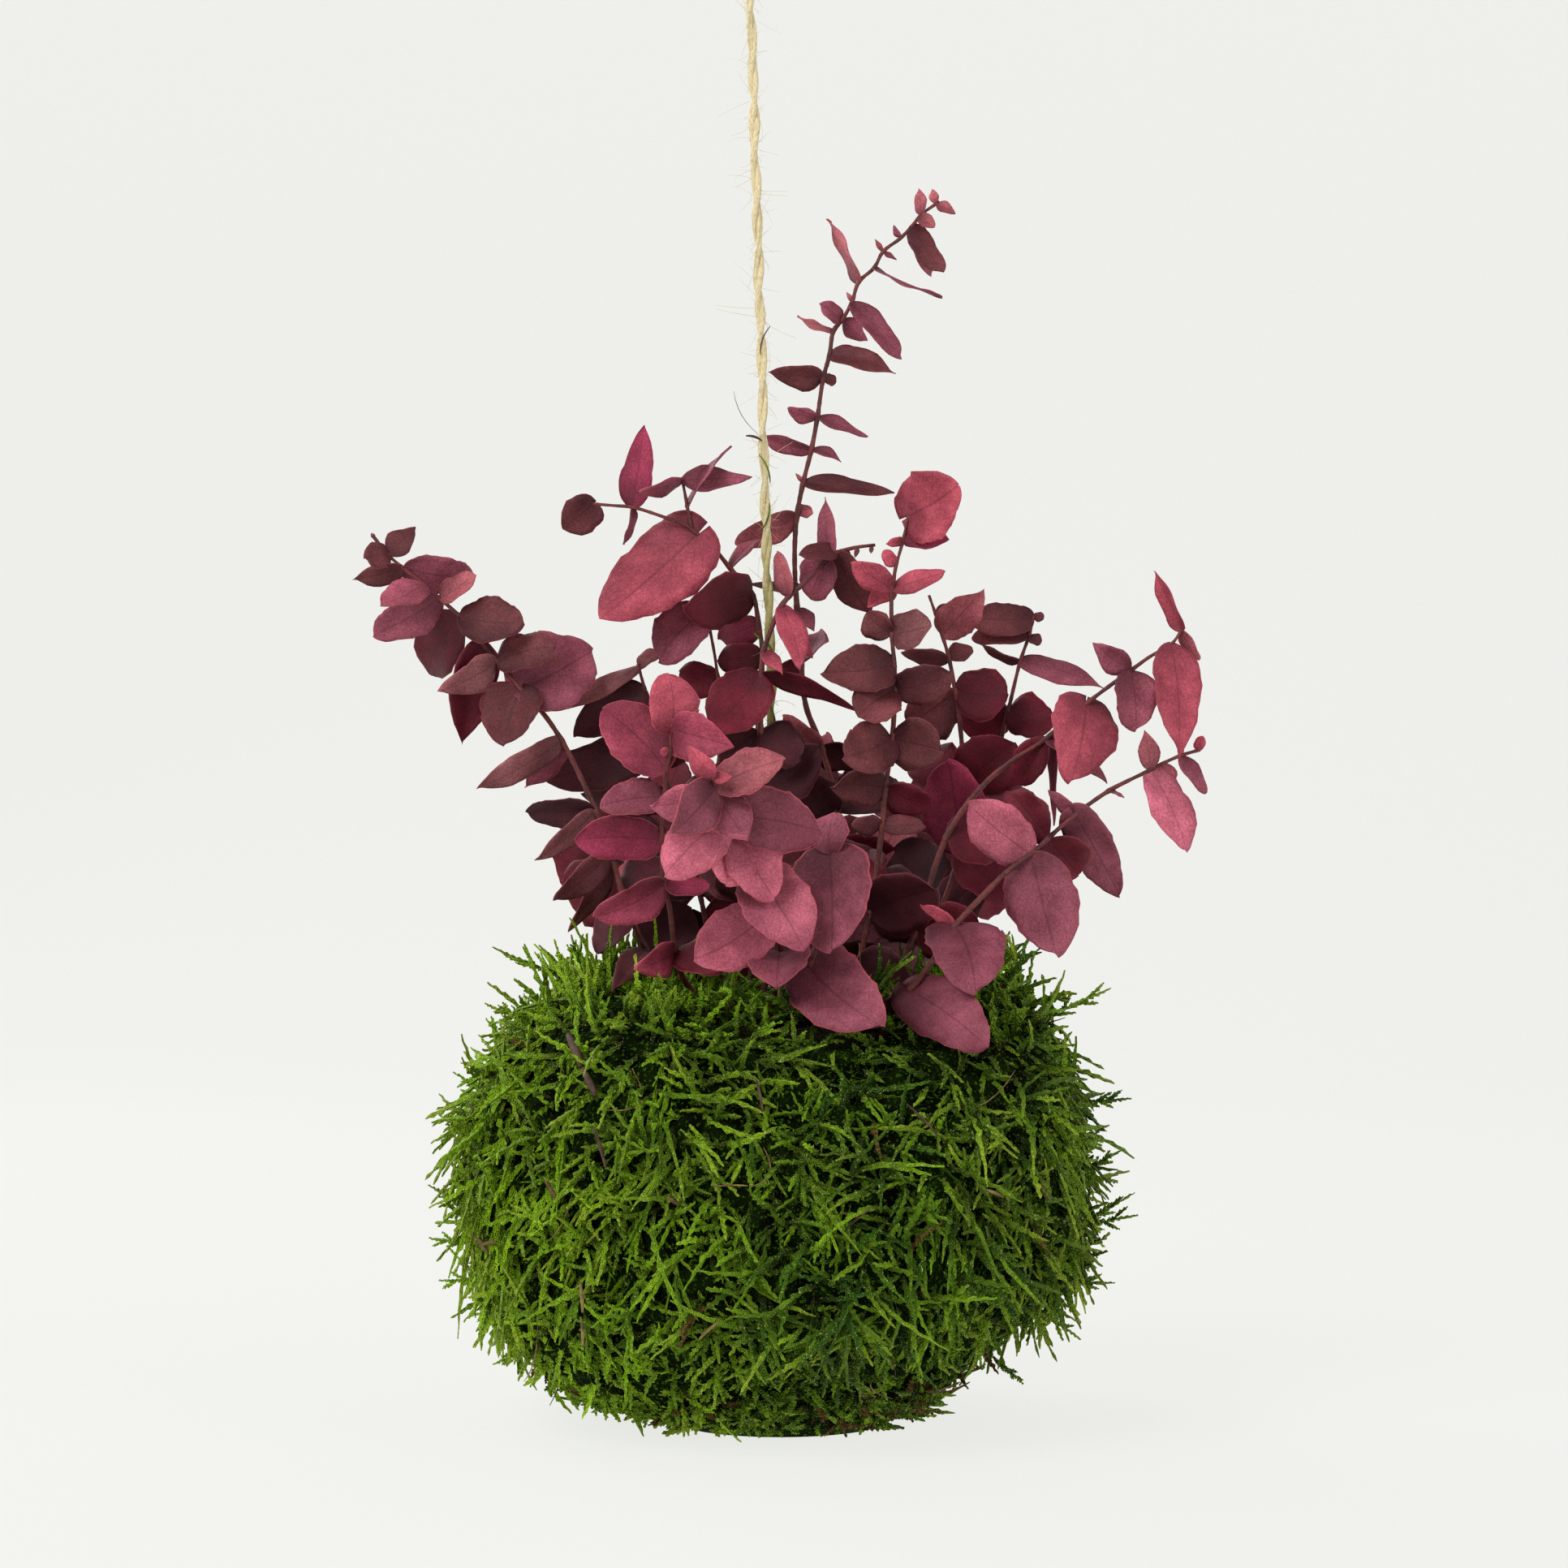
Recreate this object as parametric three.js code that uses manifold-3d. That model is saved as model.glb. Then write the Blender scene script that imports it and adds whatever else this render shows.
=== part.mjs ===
// Moss ball plant with red eucalyptus sprays and a jute twine, in millimetres, +Z up.
// The ball stands on its small flat spot. The origin is the middle of that spot.
import * as THREE from "three";
import { mergeVertices } from "three/addons/utils/BufferGeometryUtils.js";
import Module from "manifold-3d";

// Driving sizes
const EYE_DISTANCE = 1000;
const EYE_HEIGHT = 156.8;
const BALL_CENTRE_HEIGHT = 56;
const COVER_THICKNESS = 9;
const SEAT_GAP = 0.3;
const BALL_SIDES = 18;
const CROWN_FLOOR_HEIGHT = 96;
const SHOULDER_REACH = 50;
const SIDE_RISE = 3;
const FRONT_DROP = 8;
const FRONT_DROP_ANGLE = -1.2;
const LOW_SHIFT = 9;
const LOW_SHIFT_REACH = 40;
const CROWN_FLARE = 1.12;
const CROWN_FLARE_RISE = 25;
const LUMP_HEIGHT = 3.4;
const WIDE_LUMPS = 3;
const NARROW_LUMPS = 5;
const TUFT_COLUMNS = 50;
const TUFT_ROWS = 17;
const TUFT_HEIGHT = 11;
const TUFT_LEAN = 3;
const TUFT_LEAST = 0.25;
const TUFT_SHARES = [1, 0.7, 0.4, 0.2];

const STEM_FOOT_HEIGHT = 83;
const STEM_RISE_HEIGHT = 102.5;
const STEM_FOOT_RADIUS = 1.25;
const STEM_TIP_RADIUS = 0.55;
const TWIG_FOOT_RADIUS = 0.8;
const STEM_SIDES = 5;
const STEM_END = 0.9;
const HOLE_CLEARANCE = 0.6;
const HOLE_SIDES = 6;
const HOLE_RUN_OUT = 30;

const BLADE_THICKNESS = 0.72;
const SMALL_LEAF = 8;
const MIDDLE_LEAF = 21;
const SAMPLE_STEP = 2.2;
const LEAF_CLEARANCE = 2.5;
const STEM_CLEARANCE = 2.9;
const MOSS_CLEARANCE = 2.2;
const TUFT_CLEARANCE = 4;
const OWN_CLEARANCE = 2;
const OWN_BASE = 4;
const BASE_INSET_SHARE = 0.5;
const LEAST_HALF_WIDTH = 0.55;
const ARCH_SPREAD = 0.14;
const CUP_SPREAD = 0.3;

const FLAT_SPOT_RADIUS = 26;
const OPENING_RADIUS = 36;

const TWINE_RADIUS = 1.2;
const TWINE_SIDES = 8;
const TWINE_STEPS = 40;
const TWINE_START_X = 2.86;
const TWINE_SLOPE = -0.0293;
const TWINE_TOP_HEIGHT = 353;
const LOOP_WIDTH = 15;
const LOOP_HEIGHT = 27;
const LOOP_POINTS = 12;
const LOOP_STEPS = 14;
const LOOP_START_ANGLE = -1.32;
const LEG_SPREAD = 0.8;
const KNOT_RISE = 0.95;
const KNOT_TILT = 0.3;

// Outer line of the moss ball from the crown's edge to the flat spot: radius, height
const BALL_LINE = [
  [42, 104.5], [51, 104], [60, 99.5], [68.5, 90], [74, 76], [76, 58], [75, 40],
  [63, 23], [48, 11], [36, 4], [FLAT_SPOT_RADIUS, 0],
];

// Leaf forms
const OVATE = 0;
const HEART = 1;
const BLUNT = 2;

// Each spray is a list of shoots. A shoot is a list of nodes, from the foot to the tip.
// A node is its place x, y, z and the leaves that grow from it. A leaf is its tip's x and z,
// how far behind the node its tip lies, its width as seen, its turn in degrees and its form.
// x and z are as seen from the front, from an eye at EYE_DISTANCE, and y is the depth.
const SPRAYS = {
  spray_tall: [[
    [[13, 9, STEM_FOOT_HEIGHT]],
    [[13, 9, STEM_RISE_HEIGHT]],
    [[13.4, 10.5, 116], [25, 110, 8, 13, 20, BLUNT]],
    [[14, 12, 130], [3, 122, 10, 14, 25, BLUNT], [22, 141, 12, 14, 25, BLUNT]],
    [[14, 13, 150], [28, 158, 14, 12, 30, BLUNT], [2, 157, 12, 12, 30, BLUNT]],
    [[10, 12, 166], [0.5, 173.5, -4, 6, 20, BLUNT], [19, 160, 12, 8, 30, OVATE]],
    [[6.2, 11, 176]],
    [[5, 10, 187], [-2, 182, 8, 5, 30, OVATE], [10, 195, 8, 6, 50, OVATE]],
    [[4, 10, 200], [8.3, 194.6, -3, 4.5, 25, OVATE]],
    [[3.4, 9, 213]],
    [[4, 8, 223], [7.6, 224.6, 2, 3.8, 30, BLUNT], [-11.3, 216, 4, 6.5, 15, BLUNT]],
    [[5.5, 8, 231], [28, 228.5, 3, 4.2, 35, OVATE], [3.6, 233.4, 0, 1, 0, OVATE]],
    [[7.5, 8, 239], [-4.5, 242.3, 3, 3.6, 35, BLUNT], [14.8, 236.2, -3, 2.6, 35, OVATE]],
    [[9, 8, 247], [1.7, 249.2, -2, 3.4, 40, BLUNT], [21.2, 242.3, 3, 3.4, 40, OVATE]],
    [[10.5, 9, 257], [-2.8, 258.2, -3, 5.8, 30, OVATE], [13.6, 256, 3, 2.8, 20, BLUNT]],
    [[12, 9, 262.5], [28, 258, -3, 5.6, 30, OVATE]],
    [[13, 10, 268.5], [4.2, 272, 3, 1.2, 75, OVATE]],
    [[15, 10, 271], [9.7, 275, -3, 4.2, 30, BLUNT], [21, 266, 3, 4.8, 30, OVATE]],
    [[17.5, 10, 275.5], [29.6, 262, -4, 5.2, 30, BLUNT], [16.2, 278, 1, 1, 0, OVATE]],
    [[19.2, 11, 280.5], [11.8, 295.8, 3, 1.8, 75, OVATE]],
    [[23, 11, 284], [39.5, 277, -4, 1.6, 76, OVATE]],
    [[25.2, 12, 288], [23.2, 291, 0, 1.2, 30, OVATE], [28.5, 286, 0, 1.4, 30, OVATE]],
    [[29.5, 12, 291.3], [27.8, 294.5, 0, 1.4, 30, OVATE]],
    [[32.5, 13, 294.5], [40, 283, -4, 5.6, 25, BLUNT], [37, 282, 3, 5.4, 25, BLUNT]],
    [[34.5, 13, 297], [34, 303.6, 3, 2.8, 30, OVATE], [37.8, 294, -3, 3.5, 0, BLUNT]],
    [[38.3, 14, 299.8], [37.4, 303.4, 1, 2.2, 20, OVATE], [43, 297.3, -1, 2.8, 20, OVATE]],
  ]],
  spray_top_left: [[
    [[-8, 4, STEM_FOOT_HEIGHT]],
    [[-8, 4, STEM_RISE_HEIGHT]],
    [[-7, 4.5, 115], [-20, 110, 6, 13, 20, BLUNT]],
    [[-6, 5, 130], [-18, 141, 12, 14, 25, BLUNT]],
    [[-5.5, 5, 152], [-17, 160, 9, 12, 25, BLUNT]],
    [[-5.5, 5, 175]],
    [[-4.5, 4.5, 188.5], [-15.5, 187.5, 2, 7.5, 20, BLUNT]],
    [[-5.5, 3, 196.5], [-15, 192.5, 6, 7.5, 20, BLUNT]],
    [[-7, 2, 203.5], [-23.3, 201, -4, 12, 25, BLUNT]],
    [[-12.5, 0, 210], [-4.5, 217.3, 5, 2.8, 50, OVATE]],
    [[-16.8, -2, 215.2], [-17.4, 217.8, 0, 1.2, 0, OVATE]],
    [[-20.5, -4, 218.3], [-44.5, 197.5, -5, 18.5, 12, HEART]],
    [[-23.5, -5, 220.6]],
    [[-28, -5, 222.3]],
    [[-36.5, -4, 225], [-33.6, 245.2, 1, 7.8, 15, OVATE], [-38.8, 215.8, 3, 1.2, 70, OVATE]],
    [[-41, -4, 225.4]],
    [[-46, -3, 225.8], [-53.6, 219.5, 0, 12.5, 15, HEART]],
  ], [
    [[-22, -4.5, 219.5]],
    [[-23, -4, 225], [-12.3, 240, 5, 1.6, 72, OVATE]],
    [[-24.2, -3, 231.5], [-34.7, 228.6, -3, 2.6, 60, BLUNT], [-7.4, 232.2, 4, 6.2, 25, OVATE]],
  ]],
  spray_left: [[
    [[-22, 4, STEM_FOOT_HEIGHT]],
    [[-22, 4, STEM_RISE_HEIGHT]],
    [[-33, 1, 116], [-41.5, 105.5, -18, 6.5, 20, OVATE], [-22, 126, 8, 12, 30, BLUNT]],
    [[-38, -2, 127], [-44.8, 115, -6, 8.5, 25, BLUNT], [-27, 138, 8, 12, 30, BLUNT]],
    [[-42, -4, 140], [-55.5, 128.2, -4, 6.8, 20, BLUNT], [-52.3, 121, 4, 4.8, 35, OVATE]],
    [[-45.5, -5, 150], [-62.5, 149.8, 5, 7.5, 20, BLUNT], [-60.3, 138.3, -5, 5.8, 30, OVATE]],
    [[-50, -5, 160]],
    [[-54, -5, 167.5], [-74.5, 155.8, -5, 6.4, 25, BLUNT], [-63, 156, 4, 8, 25, OVATE]],
    [[-58, -5, 173.5]],
    [[-64, -5, 180], [-68, 166.5, -6, 15, 15, HEART], [-46.5, 189.5, 5, 18.5, 15, HEART]],
    [[-70, -5, 187], [-84.3, 179.6, -8, 7.4, 30, OVATE], [-55.6, 190.5, -4, 8.4, 30, BLUNT]],
    [[-74, -5, 192], [-78.5, 166.8, 3, 11, 20, OVATE], [-66.5, 198, 7, 5.5, 30, BLUNT]],
    [[-79, -5, 198], [-86.5, 184, 6, 13, 20, BLUNT], [-63.3, 196.6, 4, 10.5, 20, BLUNT]],
    [[-84, -5, 202.5], [-100.4, 193.5, 3, 9.5, 20, BLUNT], [-75.2, 208.4, -4, 5.6, 30, BLUNT]],
    [[-88, -5, 206], [-98.6, 201, -6, 7.4, 25, BLUNT]],
    [[-93, -5, 210], [-105.3, 207.2, 2, 5.2, 30, OVATE], [-76, 208, 4, 9, 25, BLUNT]],
    [[-96.5, -5, 213], [-102.3, 212.4, -3, 6.4, 20, BLUNT], [-90, 219.8, 3, 6.2, 20, OVATE]],
    [[-100, -4, 217.3], [-101, 218.6, 0, 1, 0, OVATE]],
  ]],
  spray_front_left: [[
    [[-20, -14, STEM_FOOT_HEIGHT]],
    [[-20, -14, STEM_RISE_HEIGHT]],
    [[-24.5, -20, 110]],
    [[-26, -26, 115.5], [-35.6, 111, -14, 7, 20, BLUNT], [-14.5, 110.5, -12, 7.4, 20, BLUNT]],
    [[-27.4, -28, 126.6]],
    [[-28.6, -30, 132], [-46, 124, -6, 8.8, 15, BLUNT], [-17.5, 131.5, 3, 4.8, 35, BLUNT]],
    [[-29.4, -32, 143], [-50.8, 143, -4, 10.2, 12, BLUNT], [-20, 140, 6, 8, 20, BLUNT]],
    [[-28.7, -34, 153.5], [-44.5, 151.3, 4, 8.4, 20, BLUNT]],
    [[-28, -36, 160.5], [-43.9, 175.5, -2, 14, 12, BLUNT]],
    [[-27.2, -37, 164.3], [-29.6, 165, -1, 2.4, 0, BLUNT], [-24.2, 165, 1, 2.4, 0, BLUNT]],
    [[-26.6, -38, 170.3], [-27.6, 184, 2, 11.4, 12, HEART], [-11.6, 166, -2, 10.8, 12, OVATE]],
    [[-24.3, -39, 172], [-20, 175, -2, 2.6, 20, OVATE], [-23, 167.8, -2, 2.4, 20, OVATE]],
  ]],
  spray_front: [[
    [[-2, -22, STEM_FOOT_HEIGHT]],
    [[-2, -22, STEM_RISE_HEIGHT]],
    [[0, -31, 115.5], [-1, 106.5, -14, 14, 12, BLUNT]],
    [[-3, -37, 125], [-21.3, 113.6, -12, 14, 12, BLUNT]],
    [[-7, -44, 136], [6, 115.8, -9, 15.5, 12, BLUNT]],
    [[-11, -51, 144], [-13.5, 131.8, -4, 11.8, 12, BLUNT], [-1.5, 128.4, -1, 11.4, 15, BLUNT]],
    [[-13.5, -55, 149], [-28.5, 134.3, -2, 12.4, 15, BLUNT], [10, 145, 1, 14.4, 12, BLUNT]],
    [[-15.2, -59, 153.5], [-32, 151.5, 1, 9.4, 20, OVATE], [-8, 142.8, -2, 9.8, 15, BLUNT]],
    [[-16, -62, 156], [1, 162.8, 1, 9.6, 15, BLUNT], [-27, 144.4, -1, 10.4, 15, BLUNT]],
    [[-16.6, -64.5, 158], [-22.8, 166.4, -1, 4.8, 20, OVATE], [-12, 158.8, -1, 2.8, 20, OVATE]],
  ], [
    [[-1, -26.3, 109]],
    [[7, -34, 111.5], [25, 97, -16, 17.5, 12, HEART]],
    [[10, -37, 124]],
    [[12, -39, 139.5], [12.5, 115.5, -8, 19, 12, HEART], [13.5, 149.8, 4, 8.4, 25, BLUNT]],
  ]],
  spray_mid_right: [[
    [[16, -4, STEM_FOOT_HEIGHT]],
    [[16, -4, STEM_RISE_HEIGHT]],
    [[19, -5.5, 112], [32, 106, -5, 13, 20, BLUNT]],
    [[22, -7, 125], [13, 137, 5, 14, 25, BLUNT], [38, 131, 4, 15, 20, BLUNT]],
    [[25, -9, 146.5], [17.6, 147, -3, 5, 20, BLUNT], [35.6, 146.5, -3, 4.8, 20, BLUNT]],
    [[25.8, -9, 156], [12.5, 156, -6, 10, 20, OVATE], [37, 152, 5, 8, 30, BLUNT]],
    [[27.5, -9, 168], [15.6, 163.5, -10, 12.6, 12, BLUNT], [39.6, 165, -8, 13.4, 12, BLUNT]],
    [[28.1, -9, 180], [19, 173.5, -9, 10.6, 20, BLUNT], [42, 184.4, -4, 9.4, 20, BLUNT]],
    [[28, -9, 186], [10.2, 184.2, -8, 11, 15, BLUNT]],
    [[27.4, -9, 193.5], [37.1, 195.8, -6, 9.4, 20, BLUNT], [21.2, 199, 4, 6.4, 25, BLUNT]],
    [[27.4, -8, 204.8], [17.4, 211, -4, 6.4, 20, BLUNT], [40.4, 209, -1, 5, 25, BLUNT]],
    [[27.8, -8, 207], [21.4, 200.4, 3, 5, 25, OVATE]],
    [[28.4, -8, 210.5], [25.4, 214.4, 1, 3.4, 20, BLUNT]],
    [[30.2, -8, 217], [25.9, 215.9, 1, 2, 40, OVATE], [41.5, 217, -2, 5.4, 25, BLUNT]],
    [[31.4, -8, 222.7], [43.8, 230.4, 0, 15.5, 12, HEART]],
  ]],
  spray_right_upper: [[
    [[26, -6, STEM_FOOT_HEIGHT]],
    [[26, -6, STEM_RISE_HEIGHT]],
    [[33, -8, 120], [26, 136, 4, 13, 25, BLUNT], [49, 122, 4, 14, 25, BLUNT]],
    [[41, -9, 144], [54, 143, 5, 13, 25, BLUNT]],
    [[49.8, -9, 156.4]],
    [[57, -9.5, 162.5]],
    [[65.6, -10, 168], [80.3, 157.2, -2, 3.6, 50, BLUNT], [58.5, 156.4, 6, 7.4, 25, BLUNT]],
    [[67, -10, 169.3], [67.3, 147, 3, 2, 60, OVATE]],
    [[75.3, -10, 176.6], [71.5, 157.4, -4, 15.5, 12, HEART]],
    [[86.3, -10, 184.8], [77.2, 191.6, 2, 6.2, 25, OVATE], [87.5, 170, -2, 9.8, 15, BLUNT]],
    [[91, -10, 188.2]],
    [[96.2, -10, 191.2], [98, 164, -3, 11.4, 12, OVATE]],
    [[98.9, -10, 194.8], [92.3, 209, 0, 3.4, 50, BLUNT], [103, 187.4, 1, 2.4, 50, BLUNT]],
  ]],
  spray_right_lower: [[
    [[25, -17, STEM_FOOT_HEIGHT]],
    [[25, -17, STEM_RISE_HEIGHT]],
    [[32, -34, 106], [51, 91.8, -22, 14, 12, HEART]],
    [[37, -33, 112.5]],
    [[43, -31, 121.8], [48, 105.2, -9, 17.5, 12, HEART], [34.5, 127, 5, 3.4, 30, OVATE]],
    [[50, -28, 129.5]],
    [[57, -27, 136.3]],
    [[61.6, -26, 139.5], [46.2, 152, -3, 12.4, 15, BLUNT], [68, 114.6, -4, 16.4, 12, BLUNT]],
    [[66, -25, 143.5], [73.4, 134.4, 7, 12.5, 20, BLUNT], [56.5, 155, 8, 9, 30, BLUNT]],
    [[72.5, -23, 149.2], [83.5, 129.2, -3, 9.8, 15, HEART], [66, 155.3, 3, 3.2, 30, OVATE]],
    [[81, -21, 155.2], [84.6, 153.5, 0, 1, 60, OVATE]],
    [[86, -20, 157.8]],
    [[91.2, -19, 160.3], [100, 140.2, -3, 9.4, 20, BLUNT], [89.6, 170, 2, 4.8, 20, OVATE]],
    [[94, -18.5, 161.8], [95.8, 154.8, 0, 4.6, 20, OVATE]],
    [[98.5, -18, 163.8], [104.8, 154.4, -1, 3.8, 30, BLUNT], [98.8, 167.8, 1, 1.2, 50, OVATE]],
    [[102.5, -17, 165], [104.1, 168.6, 0, 2.6, 20, BLUNT]],
  ]],
  spray_cut_stem: [[
    [[24, 15, STEM_FOOT_HEIGHT]],
    [[24, 15, STEM_RISE_HEIGHT]],
    [[31, 17, 114]],
    [[40, 19, 130], [28, 140, 12, 16, 20, BLUNT], [56, 131, 12, 14, 25, BLUNT]],
    [[50, 19, 152], [37, 157, 12, 16, 20, BLUNT], [64, 150, 12, 12, 30, BLUNT]],
    [[56, 18, 174.8], [67, 171.2, -3, 12.6, 15, BLUNT], [44, 172, 5, 11, 20, BLUNT]],
    [[59, 17, 187], [49.3, 191.3, 3, 1.8, 60, OVATE], [79.5, 180.4, -3, 5.8, 30, OVATE]],
    [[61.2, 17, 193.5], [47, 192.6, 4, 5, 30, BLUNT], [64, 191.3, -1, 3, 30, BLUNT]],
    [[62.2, 16, 197.5], [46.2, 197.4, -2, 8, 20, BLUNT], [64.8, 198.6, 0, 3.6, 20, BLUNT]],
  ]],
  spray_right_back: [[
    [[31, 5, STEM_FOOT_HEIGHT]],
    [[31, 5, STEM_RISE_HEIGHT]],
    [[38, 7, 122], [22.5, 129, -7, 13, 15, BLUNT], [51.5, 136, -5, 11.4, 15, BLUNT]],
    [[44, 8, 140], [41, 162.6, -9, 16, 12, BLUNT], [59, 128, 5, 13, 25, BLUNT]],
    [[45, 9, 157], [57.5, 167, -6, 15.5, 12, BLUNT], [33, 162, 6, 13, 25, BLUNT]],
    [[44.5, 9, 168]],
    [[43, 9, 179.5], [56, 179, -4, 15, 12, BLUNT], [31, 171.5, 3, 12, 25, BLUNT]],
    [[41.5, 9, 187.5], [47, 190.5, 4, 4.4, 30, BLUNT], [30, 189.4, 4, 4.4, 30, BLUNT]],
    [[39.8, 9, 193.5], [49.8, 204.6, -3, 9.4, 15, OVATE]],
    [[38.2, 9, 198.5], [44.8, 201.2, 3, 3.2, 30, OVATE]],
    [[36.8, 9, 202.5]],
  ]],
  spray_middle: [[
    [[-4, -9, STEM_FOOT_HEIGHT]],
    [[-4, -9, STEM_RISE_HEIGHT]],
    [[-4.5, -9, 114], [9, 111, 3, 13, 20, BLUNT]],
    [[-5, -9, 128], [6, 128, 6, 13, 25, BLUNT], [-14, 138, 6, 14, 25, BLUNT]],
    [[-5, -9, 152], [9.5, 166, 4, 11, 15, BLUNT], [-18, 150, 5, 13, 25, BLUNT]],
    [[-5, -9, 170], [-15, 163, 8, 10, 25, BLUNT], [5, 163, 8, 10, 25, BLUNT]],
    [[-4.8, -8.5, 184], [-17.5, 170.5, -3, 13.5, 15, BLUNT], [18.4, 175.2, -3, 4.4, 40, OVATE]],
    [[-4.2, -8, 189.5], [0.4, 183.8, -2, 3.6, 25, OVATE]],
    [[-1.7, -7.5, 196.5]],
    [[0.2, -7, 200.7], [4.9, 185.5, -3, 6.4, 20, BLUNT], [7.4, 188, 3, 3.8, 30, BLUNT]],
    [[2, -6.5, 203], [-0.9, 214, 2, 4.2, 25, BLUNT]],
    [[5, -6, 205.6], [-7.8, 206.3, 6, 2.8, 30, OVATE]],
    [[8, -5, 208.5]],
    [[12, -4, 212.7], [11, 227.2, 2, 4.8, 30, OVATE], [7.3, 202.4, 4, 9.4, 20, BLUNT]],
    [[13.8, -4, 213.9], [4.7, 213.2, -2, 4.8, 30, BLUNT], [21.7, 199, 4, 8.4, 25, BLUNT]],
    [[16, -3.5, 214.5], [17.9, 201.8, -3, 2.8, 30, OVATE]],
    [[19, -3.5, 215.2], [18.3, 212.6, 0, 1.2, 20, OVATE]],
    [[22.4, -3.5, 215.6], [22.2, 213.6, 0, 1, 20, OVATE]],
  ]],
  spray_behind_left: [[
    [[-16, 14, STEM_FOOT_HEIGHT]],
    [[-16, 14, STEM_RISE_HEIGHT]],
    [[-20, 14, 130], [-35, 140, 10, 14, 25, BLUNT], [-11, 143, 10, 14, 25, BLUNT]],
    [[-27, 12, 153], [-49, 154.5, 3, 9.5, 25, BLUNT]],
    [[-30.5, 11, 168], [-59.5, 158, -4, 11.5, 20, BLUNT], [-21, 164, 5, 12, 25, BLUNT]],
    [[-33.5, 10, 180], [-50.5, 168.5, 4, 10.5, 20, BLUNT]],
    [[-35, 9, 185.5], [-55.7, 175.3, -2, 4.2, 40, BLUNT], [-29.4, 189.5, 2, 3.2, 40, BLUNT]],
  ], [
    [[-19.8, 14, 128]],
    [[-17, 12, 150], [-31, 149, 6, 12, 25, BLUNT]],
    [[-14.5, 9, 172]],
    [[-15.3, 6, 180.5], [-25, 184.5, 3, 8.4, 20, BLUNT]],
    [[-16.2, 5, 188]],
    [[-18.4, 3, 199.5], [-30, 187, -3, 11.5, 20, BLUNT]],
  ]],
};

// Sprays at the back: foot x, y, then the tip's place x, y, z and the number of leaf pairs
const BACK_SPRAYS = {
  spray_back_left: [[-12, 25], [-30, 62, 150], 5],
  spray_back_middle: [[4, 27], [6, 74, 156], 5],
  spray_back_right: [[19, 25], [42, 62, 150], 5],
  spray_back_outer: [[-28, 15], [-46, 50, 138], 5],
};
const BACK_LEAF_LENGTH = 27;
const BACK_LEAF_WIDTH_SHARE = 0.74;
const BACK_FIRST_RISE = 7;
const BACK_FIRST_SHARE = 0.7;
const BACK_SPREAD_POWER = 1.3;
const BACK_ARCH_ANGLE = 1.5;
const BACK_SWAY = 3;

// Depths tried in turn for a leaf that would touch what is placed already
const DEPTH_TRIES = [0, -3, 3, -6, 6, -9, 9, -12, 12, -15, 15, -18, 18];

const COLOURS = {
  moss_cover: [0x3f5f1e, 1.0],
  substrate_core: [0x2a1c12, 1.0],
  spray: [0x8a3048, 0.75],
  twine: [0xcdb777, 0.95],
};

const wasm = await Module();
wasm.setup();

// A steady draw from 0 to 1 for each whole number
function draw(n) {
  const s = Math.sin(n * 12.9898 + 4.1414) * 43758.5453;
  return s - Math.floor(s);
}

function vec(p) {
  return new THREE.Vector3(p[0], p[1], p[2]);
}

// Puts a point seen at x, z from the eye at its depth y
function fromView(x, y, z) {
  const k = 1 + y / EYE_DISTANCE;
  return new THREE.Vector3(x * k, y, EYE_HEIGHT + (z - EYE_HEIGHT) * k);
}

function toSolid(positions, indices) {
  const mesh = new wasm.Mesh({
    numProp: 3,
    vertProperties: new Float32Array(positions),
    triVerts: new Uint32Array(indices),
  });
  return new wasm.Manifold(mesh);
}

function geometryToSolid(geometry) {
  const plain = geometry.clone();
  plain.deleteAttribute("normal");
  plain.deleteAttribute("uv");
  const merged = mergeVertices(plain, 1e-4);
  return toSolid(merged.attributes.position.array, merged.index.array);
}

function toGeometry(solid) {
  const mesh = solid.getMesh();
  const positions = new Float32Array(mesh.numVert * 3);
  for (let i = 0; i < mesh.numVert; i += 1) {
    for (let k = 0; k < 3; k += 1) {
      positions[3 * i + k] = mesh.vertProperties[mesh.numProp * i + k];
    }
  }
  const geometry = new THREE.BufferGeometry();
  geometry.setAttribute("position", new THREE.BufferAttribute(positions, 3));
  geometry.setIndex(Array.from(mesh.triVerts));
  geometry.computeVertexNormals();
  return geometry;
}

function unite(solids) {
  let joined = solids[0];
  for (const solid of solids.slice(1)) {
    joined = joined.add(solid);
  }
  return joined;
}

// Moss ball

// The crown's edge stands higher at both sides and dips at the front, right of the middle
function shoulderAt(height, angle) {
  const high = Math.max(0, Math.min(1, (height - BALL_CENTRE_HEIGHT) / SHOULDER_REACH));
  const front = Math.max(0, Math.cos(angle - FRONT_DROP_ANGLE)) ** 4;
  return high * (SIDE_RISE * Math.cos(2 * angle) - FRONT_DROP * front);
}

// The ball hangs over to the left between its flat spot and its middle
function lowShift(height) {
  const share = Math.min(1, height / LOW_SHIFT_REACH);
  return -LOW_SHIFT * Math.sin(Math.PI * share);
}

// A point of the ball's plain line, drawn in by the inset: row and angle may be fractions
function ballPoint(row, angle, inset) {
  const low = Math.min(BALL_LINE.length - 2, Math.floor(row));
  const share = row - low;
  const radius = BALL_LINE[low][0] * (1 - share) + BALL_LINE[low + 1][0] * share;
  const height = BALL_LINE[low][1] * (1 - share) + BALL_LINE[low + 1][1] * share;
  const rise = height - BALL_CENTRE_HEIGHT;
  const reach = Math.hypot(radius, rise);
  const scale = (reach - inset) / reach;
  return new THREE.Vector3(
    radius * scale * Math.cos(angle) + lowShift(height),
    radius * scale * Math.sin(angle),
    BALL_CENTRE_HEIGHT + rise * scale + shoulderAt(height, angle),
  );
}

function outwards(p) {
  return new THREE.Vector3(p.x, p.y, p.z - BALL_CENTRE_HEIGHT).normalize();
}

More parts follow.
